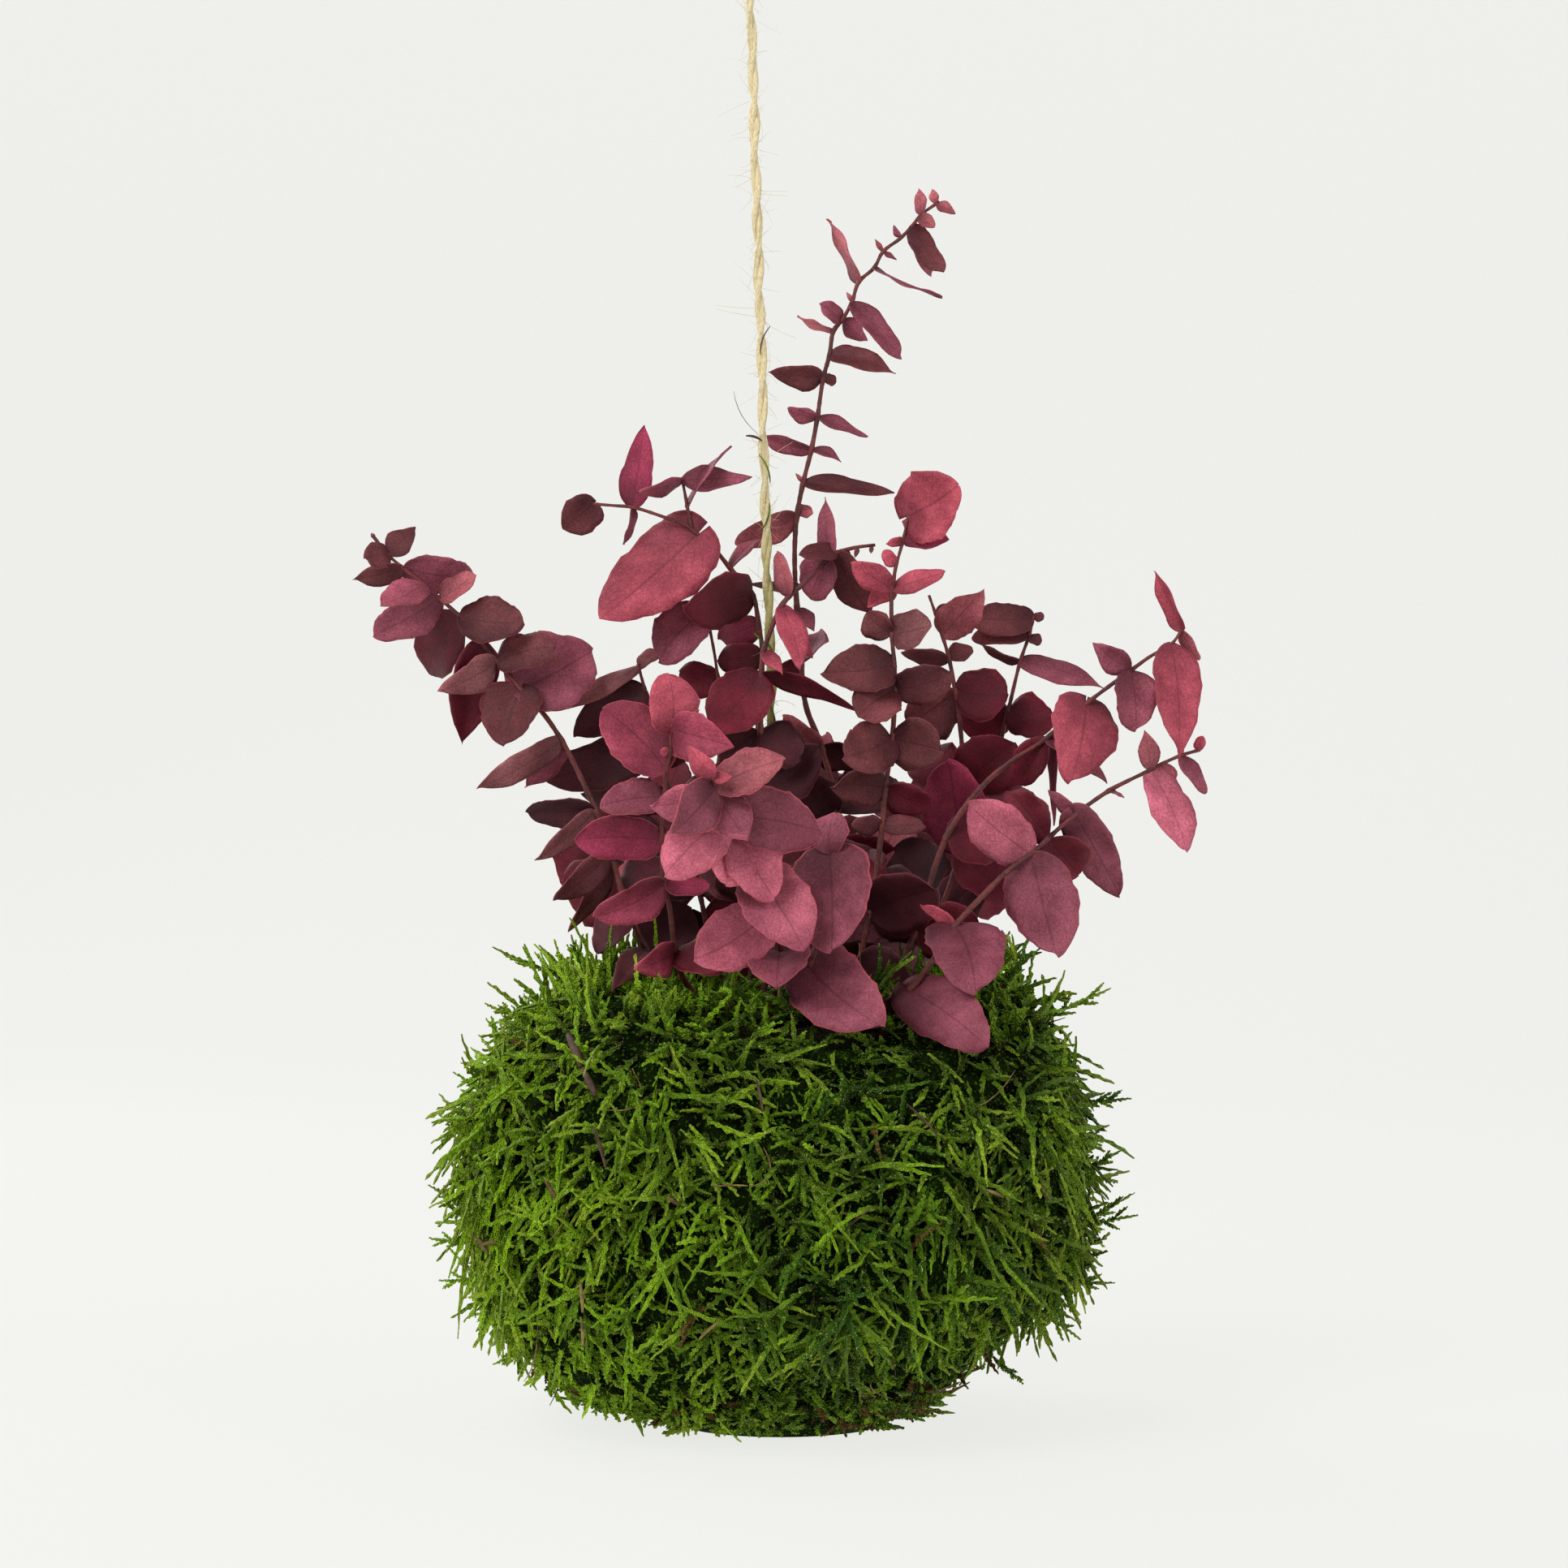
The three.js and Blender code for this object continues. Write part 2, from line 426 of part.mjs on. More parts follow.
// A closed skin over rows of points, with an end point below and one above where given
function ringSolid(rows, bottom, top) {
  const sides = rows[0].length;
  const positions = rows.flat().concat([bottom, top]).flatMap((p) => [p.x, p.y, p.z]);
  const bottomIndex = rows.length * sides;
  const indices = [];
  for (let r = 0; r + 1 < rows.length; r += 1) {
    for (let s = 0; s < sides; s += 1) {
      const a = r * sides + s;
      const b = r * sides + (s + 1) % sides;
      indices.push(a, a + sides, b, b, a + sides, b + sides);
    }
  }
  const last = (rows.length - 1) * sides;
  for (let s = 0; s < sides; s += 1) {
    const next = (s + 1) % sides;
    indices.push(last + s, bottomIndex, last + next);
    indices.push(next, bottomIndex + 1, s);
  }
  return toSolid(positions, indices);
}

function ballRows(inset) {
  return BALL_LINE.map((line, row) => {
    const ring = [];
    for (let s = 0; s < BALL_SIDES; s += 1) {
      ring.push(ballPoint(row, (2 * Math.PI * s) / BALL_SIDES, inset));
    }
    return ring;
  });
}

function ballSolid(inset, floorHeight, topHeight) {
  const bottom = new THREE.Vector3(0, 0, floorHeight);
  const top = new THREE.Vector3(0, 0, topHeight);
  return ringSolid(ballRows(inset), bottom, top);
}

// Depth of a point inside the ball's outer surface, negative outside
function depthInMoss(p) {
  const flat = Math.hypot(p.x, p.y);
  const rise = p.z - BALL_CENTRE_HEIGHT - shoulderAt(p.z, Math.atan2(p.y, p.x));
  for (let row = 0; row + 1 < BALL_LINE.length; row += 1) {
    const [r0, h0] = BALL_LINE[row];
    const [r1, h1] = BALL_LINE[row + 1];
    const cross0 = flat * (h0 - BALL_CENTRE_HEIGHT) - rise * r0;
    const cross1 = flat * (h1 - BALL_CENTRE_HEIGHT) - rise * r1;
    if (cross0 >= 0 && cross1 <= 0) {
      const share = cross0 / (cross0 - cross1);
      const reach = Math.hypot(r0 + (r1 - r0) * share, h0 + (h1 - h0) * share - BALL_CENTRE_HEIGHT);
      return reach - Math.hypot(flat, rise);
    }
  }
  if (rise < 0) {
    return p.z;
  }
  if (flat > OPENING_RADIUS) {
    return BALL_LINE[0][1] - BALL_CENTRE_HEIGHT - rise;
  }
  return CROWN_FLOOR_HEIGHT + 2 - p.z;
}

// Leaves

function leafFrame(base, tip, turn) {
  const axis = tip.clone().sub(base);
  const length = axis.length();
  axis.divideScalar(length);
  const toEye = new THREE.Vector3(0, -1, 0);
  toEye.addScaledVector(axis, -toEye.dot(axis));
  toEye.normalize();
  const across = new THREE.Vector3().crossVectors(toEye, axis);
  const angle = THREE.MathUtils.degToRad(turn);
  const face = toEye.clone().multiplyScalar(Math.cos(angle));
  face.addScaledVector(across, Math.sin(angle));
  const side = new THREE.Vector3().crossVectors(axis, face);
  return { base, axis, side, face, length };
}

// A point of the blade: u from base to tip, v from edge to edge, lifted off its middle face
function bladePoint(leaf, u, v, lift) {
  const arch = leaf.arch * leaf.length * 4 * u * (1 - u);
  const cup = leaf.cup * leaf.half * v * v;
  return leaf.base.clone()
    .addScaledVector(leaf.axis, u * leaf.length)
    .addScaledVector(leaf.side, v * leaf.half)
    .addScaledVector(leaf.face, arch + cup + lift);
}

// Rows across the blade: place of the edges, share of the half width, place of the rib if any
function bladeRows(leaf) {
  const lobe = leaf.form === HEART ? 0.2 : 0;
  const blunt = leaf.form === BLUNT ? 1 : 0;
  if (leaf.length < SMALL_LEAF) {
    return [[0.45, 1]];
  }
  if (leaf.length < MIDDLE_LEAF && !lobe) {
    return [[0.2, 0.96], [0.64 + 0.12 * blunt, 0.94]];
  }
  return [
    [0.1 - lobe, 0.72 + 0.06 * blunt, 0.1],
    [0.38, 1.06, 0.42],
    [0.74 + 0.1 * blunt, 0.74 + 0.12 * blunt, 0.78 + 0.04 * blunt],
  ];
}

function bladeSolid(leaf) {
  const rows = bladeRows(leaf).map(([edge, share, rib]) => (
    rib === undefined ? [[edge, -share], [edge, share]] : [[edge, -share], [rib, 0], [edge, share]]
  ));
  const flat = [[0, 0], ...rows.flat(), [1, 0]];
  const half = BLADE_THICKNESS / 2;
  const points = flat.map(([u, v]) => bladePoint(leaf, u, v, half))
    .concat(flat.map(([u, v]) => bladePoint(leaf, u, v, -half)));
  const under = flat.length;
  const end = under - 1;
  const across = rows[0].length;
  const faces = [];
  for (let c = 0; c + 1 < across; c += 1) {
    faces.push([0, c + 2, c + 1]);
    for (let a = 1 + c; a + across < end; a += across) {
      const b = a + across;
      if (c === 0) {
        faces.push([a, a + 1, b], [a + 1, b + 1, b]);
      } else {
        faces.push([a, a + 1, b + 1], [a, b + 1, b]);
      }
    }
    faces.push([end - across + c, end - across + c + 1, end]);
  }
  const rim = [0];
  for (let a = 1; a < end; a += across) {
    rim.push(a);
  }
  rim.push(end);
  for (let a = end - 1; a > 0; a -= across) {
    rim.push(a);
  }
  const indices = [];
  for (const [a, b, c] of faces) {
    indices.push(a, b, c, under + a, under + c, under + b);
  }
  for (let i = 0; i < rim.length; i += 1) {
    const a = rim[i];
    const b = rim[(i + 1) % rim.length];
    indices.push(a, b, under + b, a, under + b, under + a);
  }
  return toSolid(points.flatMap((p) => [p.x, p.y, p.z]), indices);
}

function leafSamples(leaf) {
  const along = Math.ceil(leaf.length / SAMPLE_STEP);
  const samples = [];
  for (let i = 1; i <= along; i += 1) {
    const u = i / along;
    const width = Math.sqrt(Math.max(0, 1 - (2 * u - 0.9) ** 2 / 1.3));
    const across = Math.ceil((leaf.half * width) / SAMPLE_STEP);
    for (let j = -across; j <= across; j += 1) {
      samples.push(bladePoint(leaf, u, (width * j) / Math.max(1, across), 0));
    }
  }
  return samples;
}

function nearest(samples, others) {
  let best = Infinity;
  for (const p of samples) {
    for (const q of others) {
      const gap = (p.x - q.x) ** 2 + (p.y - q.y) ** 2 + (p.z - q.z) ** 2;
      if (gap < best) {
        best = gap;
      }
    }
  }
  return Math.sqrt(best);
}

function farApart(a, b) {
  return a.middle.distanceTo(b.middle) > a.reach + b.reach + LEAF_CLEARANCE;
}

function withSamples(leaf) {
  leaf.samples = leafSamples(leaf);
  leaf.middle = bladePoint(leaf, 0.5, 0, 0);
  leaf.reach = leaf.length * 0.5 + leaf.half * 0.5 + 1;
  return leaf;
}

function makeLeaf(sprayName, base, tip, turn, inset, row, number) {
  const [, , , seenWidth, , form] = row;
  const start = base.clone().lerp(tip, inset / tip.distanceTo(base));
  const leaf = leafFrame(start, tip, turn);
  leaf.spray = sprayName;
  leaf.form = form;
  leaf.half = Math.max(LEAST_HALF_WIDTH, seenWidth / Math.cos(THREE.MathUtils.degToRad(turn)) / 2);
  leaf.half = Math.min(leaf.half, leaf.length * 0.5);
  leaf.arch = (draw(number) - 0.35) * ARCH_SPREAD;
  leaf.cup = (draw(number + 500) - 0.3) * CUP_SPREAD;
  return withSamples(leaf);
}

// Leaves of one spray stay apart too, but for the part near the stem
function crossesOwn(leaf, placed, stems) {
  const outer = leaf.samples.filter((p) => p.distanceTo(leaf.base) > OWN_BASE);
  return placed.some((other) => other.spray === leaf.spray && !farApart(leaf, other)
    && nearest(outer, other.samples) < OWN_CLEARANCE)
    || stems.some(([name, points]) => name === leaf.spray
    && nearest(outer, points) < OWN_CLEARANCE);
}

function isClear(leaf, placed, stems) {
  for (const p of leaf.samples) {
    if (depthInMoss(p) > -MOSS_CLEARANCE && p.distanceTo(leaf.base) > OWN_BASE) {
      return false;
    }
  }
  for (const other of placed) {
    if (other.spray !== leaf.spray && !farApart(leaf, other)
        && nearest(leaf.samples, other.samples) < LEAF_CLEARANCE) {
      return false;
    }
  }
  for (const [name, points] of stems) {
    if (name !== leaf.spray && nearest(leaf.samples, points) < STEM_CLEARANCE) {
      return false;
    }
  }
  return true;
}

// Bends a leaf forward or back, by its tip's depth, until it is clear of the others
function bendClear(sprayName, node, stemRadius, row, placed, stems, number) {
  const [tipX, tipZ, depth, , turn] = row;
  const inset = BASE_INSET_SHARE * stemRadius;
  const base = fromView(node[0], node[1], node[2]);
  let fallback = null;
  for (const more of DEPTH_TRIES) {
    const tip = fromView(tipX, node[1] + depth + more, tipZ);
    for (const way of [turn, -turn]) {
      const leaf = makeLeaf(sprayName, base, tip, way, inset, row, number);
      if (isClear(leaf, placed, stems)) {
        if (!crossesOwn(leaf, placed, stems)) {
          return leaf;
        }
        fallback = fallback || leaf;
      }
    }
  }
  return fallback;
}

// Stems

function shootCurve(shoot) {
  return new THREE.CatmullRomCurve3(shoot.map(([place]) => (
    place[2] < STEM_RISE_HEIGHT + 0.1 ? vec(place) : fromView(place[0], place[1], place[2])
  )), false, "centripetal");
}

function stemSamples(curve) {
  const count = Math.ceil(curve.getLength() / SAMPLE_STEP);
  return curve.getSpacedPoints(count);
}

// The first shoot is the main stem and the others are twigs
function footRadius(index) {
  return index === 0 ? STEM_FOOT_RADIUS : TWIG_FOOT_RADIUS;
}

function stemRadiusAt(share, foot) {
  return foot + (STEM_TIP_RADIUS - foot) * share;
}

function stemSolid(curve, nodes, foot) {
  const rings = [];
  const spans = nodes.length - 1;
  for (let i = 0; i <= spans; i += 1) {
    const t = i / spans;
    const along = curve.getTangent(t);
    const middle = curve.getPoint(t);
    if (i === spans) {
      middle.addScaledVector(along, STEM_END);
    }
    const side = new THREE.Vector3(0, 1, 0).cross(along);
    if (side.length() < 0.05) {
      side.set(1, 0, 0);
    }
    side.normalize();
    const up = new THREE.Vector3().crossVectors(along, side);
    const radius = stemRadiusAt(t, foot);
    const ring = [];
    for (let s = 0; s < STEM_SIDES; s += 1) {
      const angle = (-2 * Math.PI * s) / STEM_SIDES;
      ring.push(middle.clone()
        .addScaledVector(side, radius * Math.cos(angle))
        .addScaledVector(up, radius * Math.sin(angle)));
    }
    rings.push(ring);
  }
  const last = curve.getPoint(1).addScaledVector(curve.getTangent(1), STEM_END);
  return ringSolid(rings, last, curve.getPoint(0));
}

// A back spray leans out from its foot, with each leaf pair turned across the one before
function backShoot(name) {
  const [foot, tip, pairs] = BACK_SPRAYS[name];
  const low = STEM_RISE_HEIGHT + BACK_FIRST_RISE;
  const nodes = [
    [[foot[0], foot[1], STEM_FOOT_HEIGHT]],
    [[foot[0], foot[1], STEM_RISE_HEIGHT]],
  ];
  for (let i = 0; i <= pairs; i += 1) {
    const t = (i + BACK_FIRST_SHARE) / (pairs + BACK_FIRST_SHARE);
    const spread = t ** BACK_SPREAD_POWER;
    const place = [
      foot[0] + (tip[0] - foot[0]) * spread,
      foot[1] + (tip[1] - foot[1]) * spread,
      low + (tip[2] - low) * Math.sin(t * BACK_ARCH_ANGLE),
    ];
    const size = BACK_LEAF_LENGTH * (1 - 0.5 * t);
    const width = size * BACK_LEAF_WIDTH_SHARE;
    const row = [place];
    for (const way of [-1, 1]) {
      const sway = BACK_SWAY * (2 * draw(10 * i + way + foot[0]) - 1);
      const across = [place[0] + way * size * 0.9, place[2] + 4 + sway, 6, width, 20, BLUNT];
      const upright = [place[0] + way * 5, place[2] + 3 + way * size * 0.75, 9, width, 25, BLUNT];
      if (i % 2 === 0) {
        row.push(across);
      } else if (i > 1 || way > 0) {
        row.push(upright);
      }
    }
    nodes.push(row);
  }
  return [nodes];
}

// Twine

function twineX(height) {
  return TWINE_START_X + TWINE_SLOPE * height;
}

function twinePoint(height) {
  return new THREE.Vector3(twineX(height), 0, height);
}

function ropeSection(radius) {
  const points = [];
  for (let s = 0; s < TWINE_SIDES; s += 1) {
    const angle = (2 * Math.PI * s) / TWINE_SIDES;
    points.push(new THREE.Vector2(radius * Math.cos(angle), radius * Math.sin(angle)));
  }
  return new THREE.Shape(points);
}

function ropeSolid(points, steps) {
  const path = new THREE.CatmullRomCurve3(points, false, "centripetal");
  const geometry = new THREE.ExtrudeGeometry(ropeSection(TWINE_RADIUS), {
    steps, bevelEnabled: false, extrudePath: path,
  });
  return geometryToSolid(geometry);
}

function twineSolid() {
  return ropeSolid([
    twinePoint(STEM_FOOT_HEIGHT),
    twinePoint((STEM_FOOT_HEIGHT + TWINE_TOP_HEIGHT) / 2),
    twinePoint(TWINE_TOP_HEIGHT),
  ], TWINE_STEPS);
}

// The loop's two legs go down into the knot, a tilted turn of the twine
function loopSolid() {
  const knot = twinePoint(TWINE_TOP_HEIGHT + SEAT_GAP + KNOT_RISE);
  const points = [new THREE.Vector3(knot.x + LEG_SPREAD, 0, knot.z - LEG_SPREAD)];
  for (let i = 0; i <= LOOP_POINTS; i += 1) {
    const angle = LOOP_START_ANGLE + ((Math.PI - 2 * LOOP_START_ANGLE) * i) / LOOP_POINTS;
    const high = Math.sin(angle);
    points.push(new THREE.Vector3(
      knot.x + (LOOP_WIDTH / 2) * Math.cos(angle) * (0.62 + 0.38 * high),
      0,
      knot.z + 2 * LEG_SPREAD + (LOOP_HEIGHT / 2) * (1 + high),
    ));
  }
  points.push(new THREE.Vector3(knot.x - LEG_SPREAD, 0, knot.z - LEG_SPREAD));
  const turn = new THREE.TorusGeometry(TWINE_RADIUS + 0.5, TWINE_RADIUS, 5, TWINE_SIDES);
  turn.rotateX(KNOT_TILT);
  turn.translate(knot.x, 0, knot.z + LEG_SPREAD);
  return unite([ropeSolid(points, LOOP_STEPS), geometryToSolid(turn)]);
}

// Plain holes for the stems and the twine

function holeSolid(radius, low, high) {
  const length = high.distanceTo(low) + HOLE_RUN_OUT;
  const geometry = new THREE.CylinderGeometry(radius, radius, length, HOLE_SIDES);
  geometry.rotateX(Math.PI / 2);
  const way = high.clone().sub(low).normalize();
  const lean = new THREE.Quaternion().setFromUnitVectors(new THREE.Vector3(0, 0, 1), way);
  geometry.applyQuaternion(lean);
  const start = low.clone().addScaledVector(way, length / 2 - SEAT_GAP);
  geometry.translate(start.x, start.y, start.z);
  return geometryToSolid(geometry);
}

function coreSolid(feet) {
  const core = ballSolid(
    COVER_THICKNESS + SEAT_GAP, COVER_THICKNESS + SEAT_GAP, CROWN_FLOOR_HEIGHT,
  );
  const holes = feet.map(([x, y, radius]) => holeSolid(
    radius + HOLE_CLEARANCE,
    new THREE.Vector3(x, y, STEM_FOOT_HEIGHT),
    new THREE.Vector3(x, y, STEM_RISE_HEIGHT),
  ));
  holes.push(holeSolid(
    TWINE_RADIUS + HOLE_CLEARANCE, twinePoint(STEM_FOOT_HEIGHT), twinePoint(STEM_RISE_HEIGHT),
  ));
  return core.subtract(unite(holes));
}

// Moss cover: a shell open at the crown, raised in tufts all over

function tuftPoint(column, row, leaves, stems) {
  const angle = (2 * Math.PI * column) / TUFT_COLUMNS;
  const place = ((BALL_LINE.length - 1) * row) / TUFT_ROWS;
  const root = ballPoint(place, angle, 0);
  const edge = Math.min(1, row / 2, (TUFT_ROWS - row) / 3);
  if (edge === 0) {
    return root;
  }
  const out = outwards(root);
  const around = new THREE.Vector3(-Math.sin(angle), Math.cos(angle), 0);
  const down = new THREE.Vector3().crossVectors(around, out);
  const lump = 0.6 * Math.sin(WIDE_LUMPS * angle + place)
    + 0.4 * Math.sin(NARROW_LUMPS * angle - place + 2);
  const key = column * 31 + row * 7;
  const peak = (column + row) % 2 === 0 ? 0 : 1;
  const peakShare = TUFT_LEAST + (1 - TUFT_LEAST) * draw(key);
  const raise = LUMP_HEIGHT * lump + peak * TUFT_HEIGHT * peakShare;
  for (const share of TUFT_SHARES) {
    const tip = root.clone()
      .addScaledVector(out, raise * edge * share)
      .addScaledVector(around, peak * TUFT_LEAN * share * (2 * draw(key + 5) - 1))
      .addScaledVector(down, peak * TUFT_LEAN * share * (2 * draw(key + 9) - 1));
    const free = leaves.every((leaf) => nearest([tip], leaf.samples) > TUFT_CLEARANCE)
      && stems.every(([, points]) => nearest([tip], points) > TUFT_CLEARANCE);
    if (free && tip.z > 1) {
      return tip;
    }
  }
  return root;
}

function tuftedBall(leaves, stems) {
  const positions = [];
  for (let row = 0; row <= TUFT_ROWS; row += 1) {
    for (let column = 0; column < TUFT_COLUMNS; column += 1) {
      const p = tuftPoint(column, row, leaves, stems);
      positions.push(p.x, p.y, p.z);
    }
  }
  const indices = [];
  const bottom = positions.length / 3;
  positions.push(0, 0, 0, 0, 0, BALL_LINE[0][1]);
  for (let c = 0; c < TUFT_COLUMNS; c += 1) {
    const n = (c + 1) % TUFT_COLUMNS;
    for (let row = 0; row < TUFT_ROWS; row += 1) {
      const a = row * TUFT_COLUMNS + c;
      const b = row * TUFT_COLUMNS + n;
      const below = TUFT_COLUMNS;
      if ((c + row) % 2 === 0) {
        indices.push(a, a + below, b + below, a, b + below, b);
      } else {
        indices.push(a, a + below, b, b, a + below, b + below);
      }
    }
    const last = TUFT_ROWS * TUFT_COLUMNS;
    indices.push(last + c, bottom, last + n, n, bottom + 1, c);
  }
  return toSolid(positions, indices);
}

// The room for the core, with the open crown above it
function cavitySolid() {
  const rows = ballRows(COVER_THICKNESS);
  const crown = rows[0].map((p) => (
    new THREE.Vector3(p.x * CROWN_FLARE, p.y * CROWN_FLARE, p.z + CROWN_FLARE_RISE)
  ));
  const above = new THREE.Vector3(0, 0, crown[0].z + 5);
  return ringSolid([crown, ...rows], new THREE.Vector3(0, 0, COVER_THICKNESS), above);
}

function coverSolid(leaves, stems) {
  return tuftedBall(leaves, stems).subtract(cavitySolid());
}

// Assembly

const group = new THREE.Group();

function addMesh(name, solid, kind) {
  const [color, roughness] = COLOURS[kind];
  const material = new THREE.MeshStandardMaterial({ color, roughness, metalness: 0 });
  const mesh = new THREE.Mesh(toGeometry(solid), material);
  mesh.name = name;
  group.add(mesh);
}

const shootsOf = { ...SPRAYS };
for (const name of Object.keys(BACK_SPRAYS)) {
  shootsOf[name] = backShoot(name);
}

const curvesOf = {};
const stems = [["twine", stemSamples(new THREE.LineCurve3(twinePoint(95), twinePoint(350)))]];
for (const [name, shoots] of Object.entries(shootsOf)) {
  curvesOf[name] = shoots.map(shootCurve);
  for (const curve of curvesOf[name]) {
    stems.push([name, stemSamples(curve)]);
  }
}

const leaves = [];
const order = [
  "spray_front", "spray_front_left", "spray_right_lower", "spray_mid_right",
  "spray_right_upper", "spray_top_left", "spray_left", "spray_tall", "spray_middle",
  "spray_right_back", "spray_cut_stem", "spray_behind_left", ...Object.keys(BACK_SPRAYS),
];
let number = 0;
for (const name of order) {
  shootsOf[name].forEach((shoot, index) => {
    shoot.forEach(([node, ...rows], step) => {
      const radius = stemRadiusAt(step / (shoot.length - 1), footRadius(index));
      for (const row of rows) {
        number += 1;
        const leaf = bendClear(name, node, radius, row, leaves, stems, number);
        if (leaf) {
          leaves.push(leaf);
        }
      }
    });
  });
}

const feet = [];
for (const name of order) {
  const pieces = [];
  shootsOf[name].forEach((shoot, index) => {
    pieces.push(stemSolid(curvesOf[name][index], shoot, footRadius(index)));
    if (index === 0) {
      feet.push([shoot[0][0][0], shoot[0][0][1], STEM_FOOT_RADIUS]);
    }
  });
  for (const leaf of leaves) {
    if (leaf.spray === name) {
      pieces.push(bladeSolid(leaf));
    }
  }
  addMesh(name, unite(pieces), "spray");
}
addMesh("moss_cover", coverSolid(leaves, stems), "moss_cover");
addMesh("substrate_core", coreSolid(feet), "substrate_core");
addMesh("twine", twineSolid(), "twine");
addMesh("twine_loop", loopSolid(), "twine");

export default group;
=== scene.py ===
"""A moss ball plant: red eucalyptus sprays in a ball of moss, hung on jute twine."""
import math
from collections import namedtuple

import bmesh
import bpy
import numpy as np
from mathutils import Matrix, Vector, noise
from mathutils.kdtree import KDTree


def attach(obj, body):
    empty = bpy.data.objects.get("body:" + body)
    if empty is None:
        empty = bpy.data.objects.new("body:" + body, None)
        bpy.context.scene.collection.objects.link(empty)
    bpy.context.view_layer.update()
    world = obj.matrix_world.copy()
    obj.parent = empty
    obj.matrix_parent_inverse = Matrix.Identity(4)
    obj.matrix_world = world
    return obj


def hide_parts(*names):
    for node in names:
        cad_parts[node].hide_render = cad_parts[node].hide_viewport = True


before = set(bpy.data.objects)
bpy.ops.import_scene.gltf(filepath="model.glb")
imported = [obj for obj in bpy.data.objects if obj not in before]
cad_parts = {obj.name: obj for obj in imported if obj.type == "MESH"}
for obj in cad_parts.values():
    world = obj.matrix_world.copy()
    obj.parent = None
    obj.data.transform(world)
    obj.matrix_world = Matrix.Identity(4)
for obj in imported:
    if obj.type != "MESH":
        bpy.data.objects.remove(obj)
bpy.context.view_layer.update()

bl_info = {
    "name": "Moss Ball Plant",
    "version": (1, 0, 0),
    "blender": (4, 5, 0),
    "location": "View3D > Sidebar > Moss Ball",
    "description": "Dresses a moss ball plant with leaves, moss and twine",
    "category": "Object",
}

MM = 0.001

# Shared with the solids, in millimetres and radians: the eye and the ball
EYE_DISTANCE = 1000
EYE_HEIGHT = 156.8
BALL_CENTRE_HEIGHT = 56
COVER_THICKNESS = 9
CROWN_FLOOR_HEIGHT = 96
SHOULDER_REACH = 50
SIDE_RISE = 3
FRONT_DROP = 8
FRONT_DROP_ANGLE = -1.2
LOW_SHIFT = 9
LOW_SHIFT_REACH = 40
LUMP_HEIGHT = 3.4
WIDE_LUMPS = 3
NARROW_LUMPS = 5
OPENING_RADIUS = 36
BALL_LINE = [
    (42, 104.5), (51, 104), (60, 99.5), (68.5, 90), (74, 76), (76, 58), (75, 40),
    (63, 23), (48, 11), (36, 4), (26, 0),
]

# Shared with the solids: stems, leaves and the room kept round them
STEM_FOOT_HEIGHT = 83
STEM_RISE_HEIGHT = 102.5
STEM_FOOT_RADIUS = 1.25
STEM_TIP_RADIUS = 0.55
TWIG_FOOT_RADIUS = 0.8
STEM_END = 0.9
SAMPLE_STEP = 2.2
LEAF_CLEARANCE = 2.5
STEM_CLEARANCE = 2.9
MOSS_CLEARANCE = 2.2
OWN_CLEARANCE = 2
OWN_BASE = 4
BASE_INSET_SHARE = 0.5
LEAST_HALF_WIDTH = 0.55
ARCH_SPREAD = 0.14
CUP_SPREAD = 0.3
DEPTH_TRIES = (0, -3, 3, -6, 6, -9, 9, -12, 12, -15, 15, -18, 18)

# Shared with the solids: the twine, its loop and its knot
TWINE_START_X = 2.86
TWINE_SLOPE = -0.0293
TWINE_TOP_HEIGHT = 353
TWINE_KEPT_CLEAR = (95, 350)
SEAT_GAP = 0.3
LOOP_WIDTH = 15
LOOP_HEIGHT = 27
LOOP_POINTS = 12
LOOP_START_ANGLE = -1.32
LEG_SPREAD = 0.8
KNOT_RISE = 0.95
KNOT_TILT = 0.3

# Finer forms, in millimetres: stems as a share of the solid's radius, leaves, twine and moss
STEM_SLIM = 0.64
LONG_LEAF = 14
LONG_LEAF_FACES, SHORT_LEAF_FACES = (8, 24), (6, 12)
LEAST_LEAVES = 200
STEM_STEP = 1.1
TWINE_RINGS = 271
STRAND_SIDES, STRAND_TWIST = 9, 0.12
FIBRE_RADII = (0.055, 0.03)
GOLDEN_ANGLE = 2.399963
ROOT_DEPTH = 3.5
CROWN_MOSS_RADIUS = 44
HEM_ROWS, HEM_DEPTH = (7.5, 9.6), 1.5
SHOOT_RADIUS, BRANCH_RADIUS = 0.72, 0.66
EDGE_RADIUS, EDGE_BRANCH_RADIUS = 0.62, 0.5
MOSS_TO_LEAF, MOSS_BEFORE_LEAF = 1.9, 2.4
LOWEST_MOSS = 1.0
SCRAP_COUNT = 50
BED_SIDES, BED_OUTER_RINGS, BED_INNER_RINGS = 150, 70, 18

# One shoot in the crown or the hem for so many on the outer surface, where along a shoot its
# clearance is tested, and the shares of its length that are tried
CROWN_EVERY, HEM_EVERY = 7, 11
TESTED_SHARES = (0.35, 0.7, 1.0)
SHORTENED_SHARES = (1.0, 0.6, 0.35)

# Kinds of moss shoot, and the rings along each
SHOOT, BRANCH, EDGE_SHOOT = range(3)
SHOOT_SPANS = (14, 9, 28)

# The camera's lens in millimetres, then its step to the right and the lights' aim in metres
LENS, SENSOR_WIDTH = 93.17, 36
CAMERA_X, LIGHTS_AIM = 0.0008, 0.13

# Leaf forms, and the powers that round each one's base and tip
OVATE, HEART, BLUNT = range(3)
FORM_POWERS = {OVATE: (0.58, 0.84), HEART: (0.36, 0.5), BLUNT: (0.46, 0.44)}

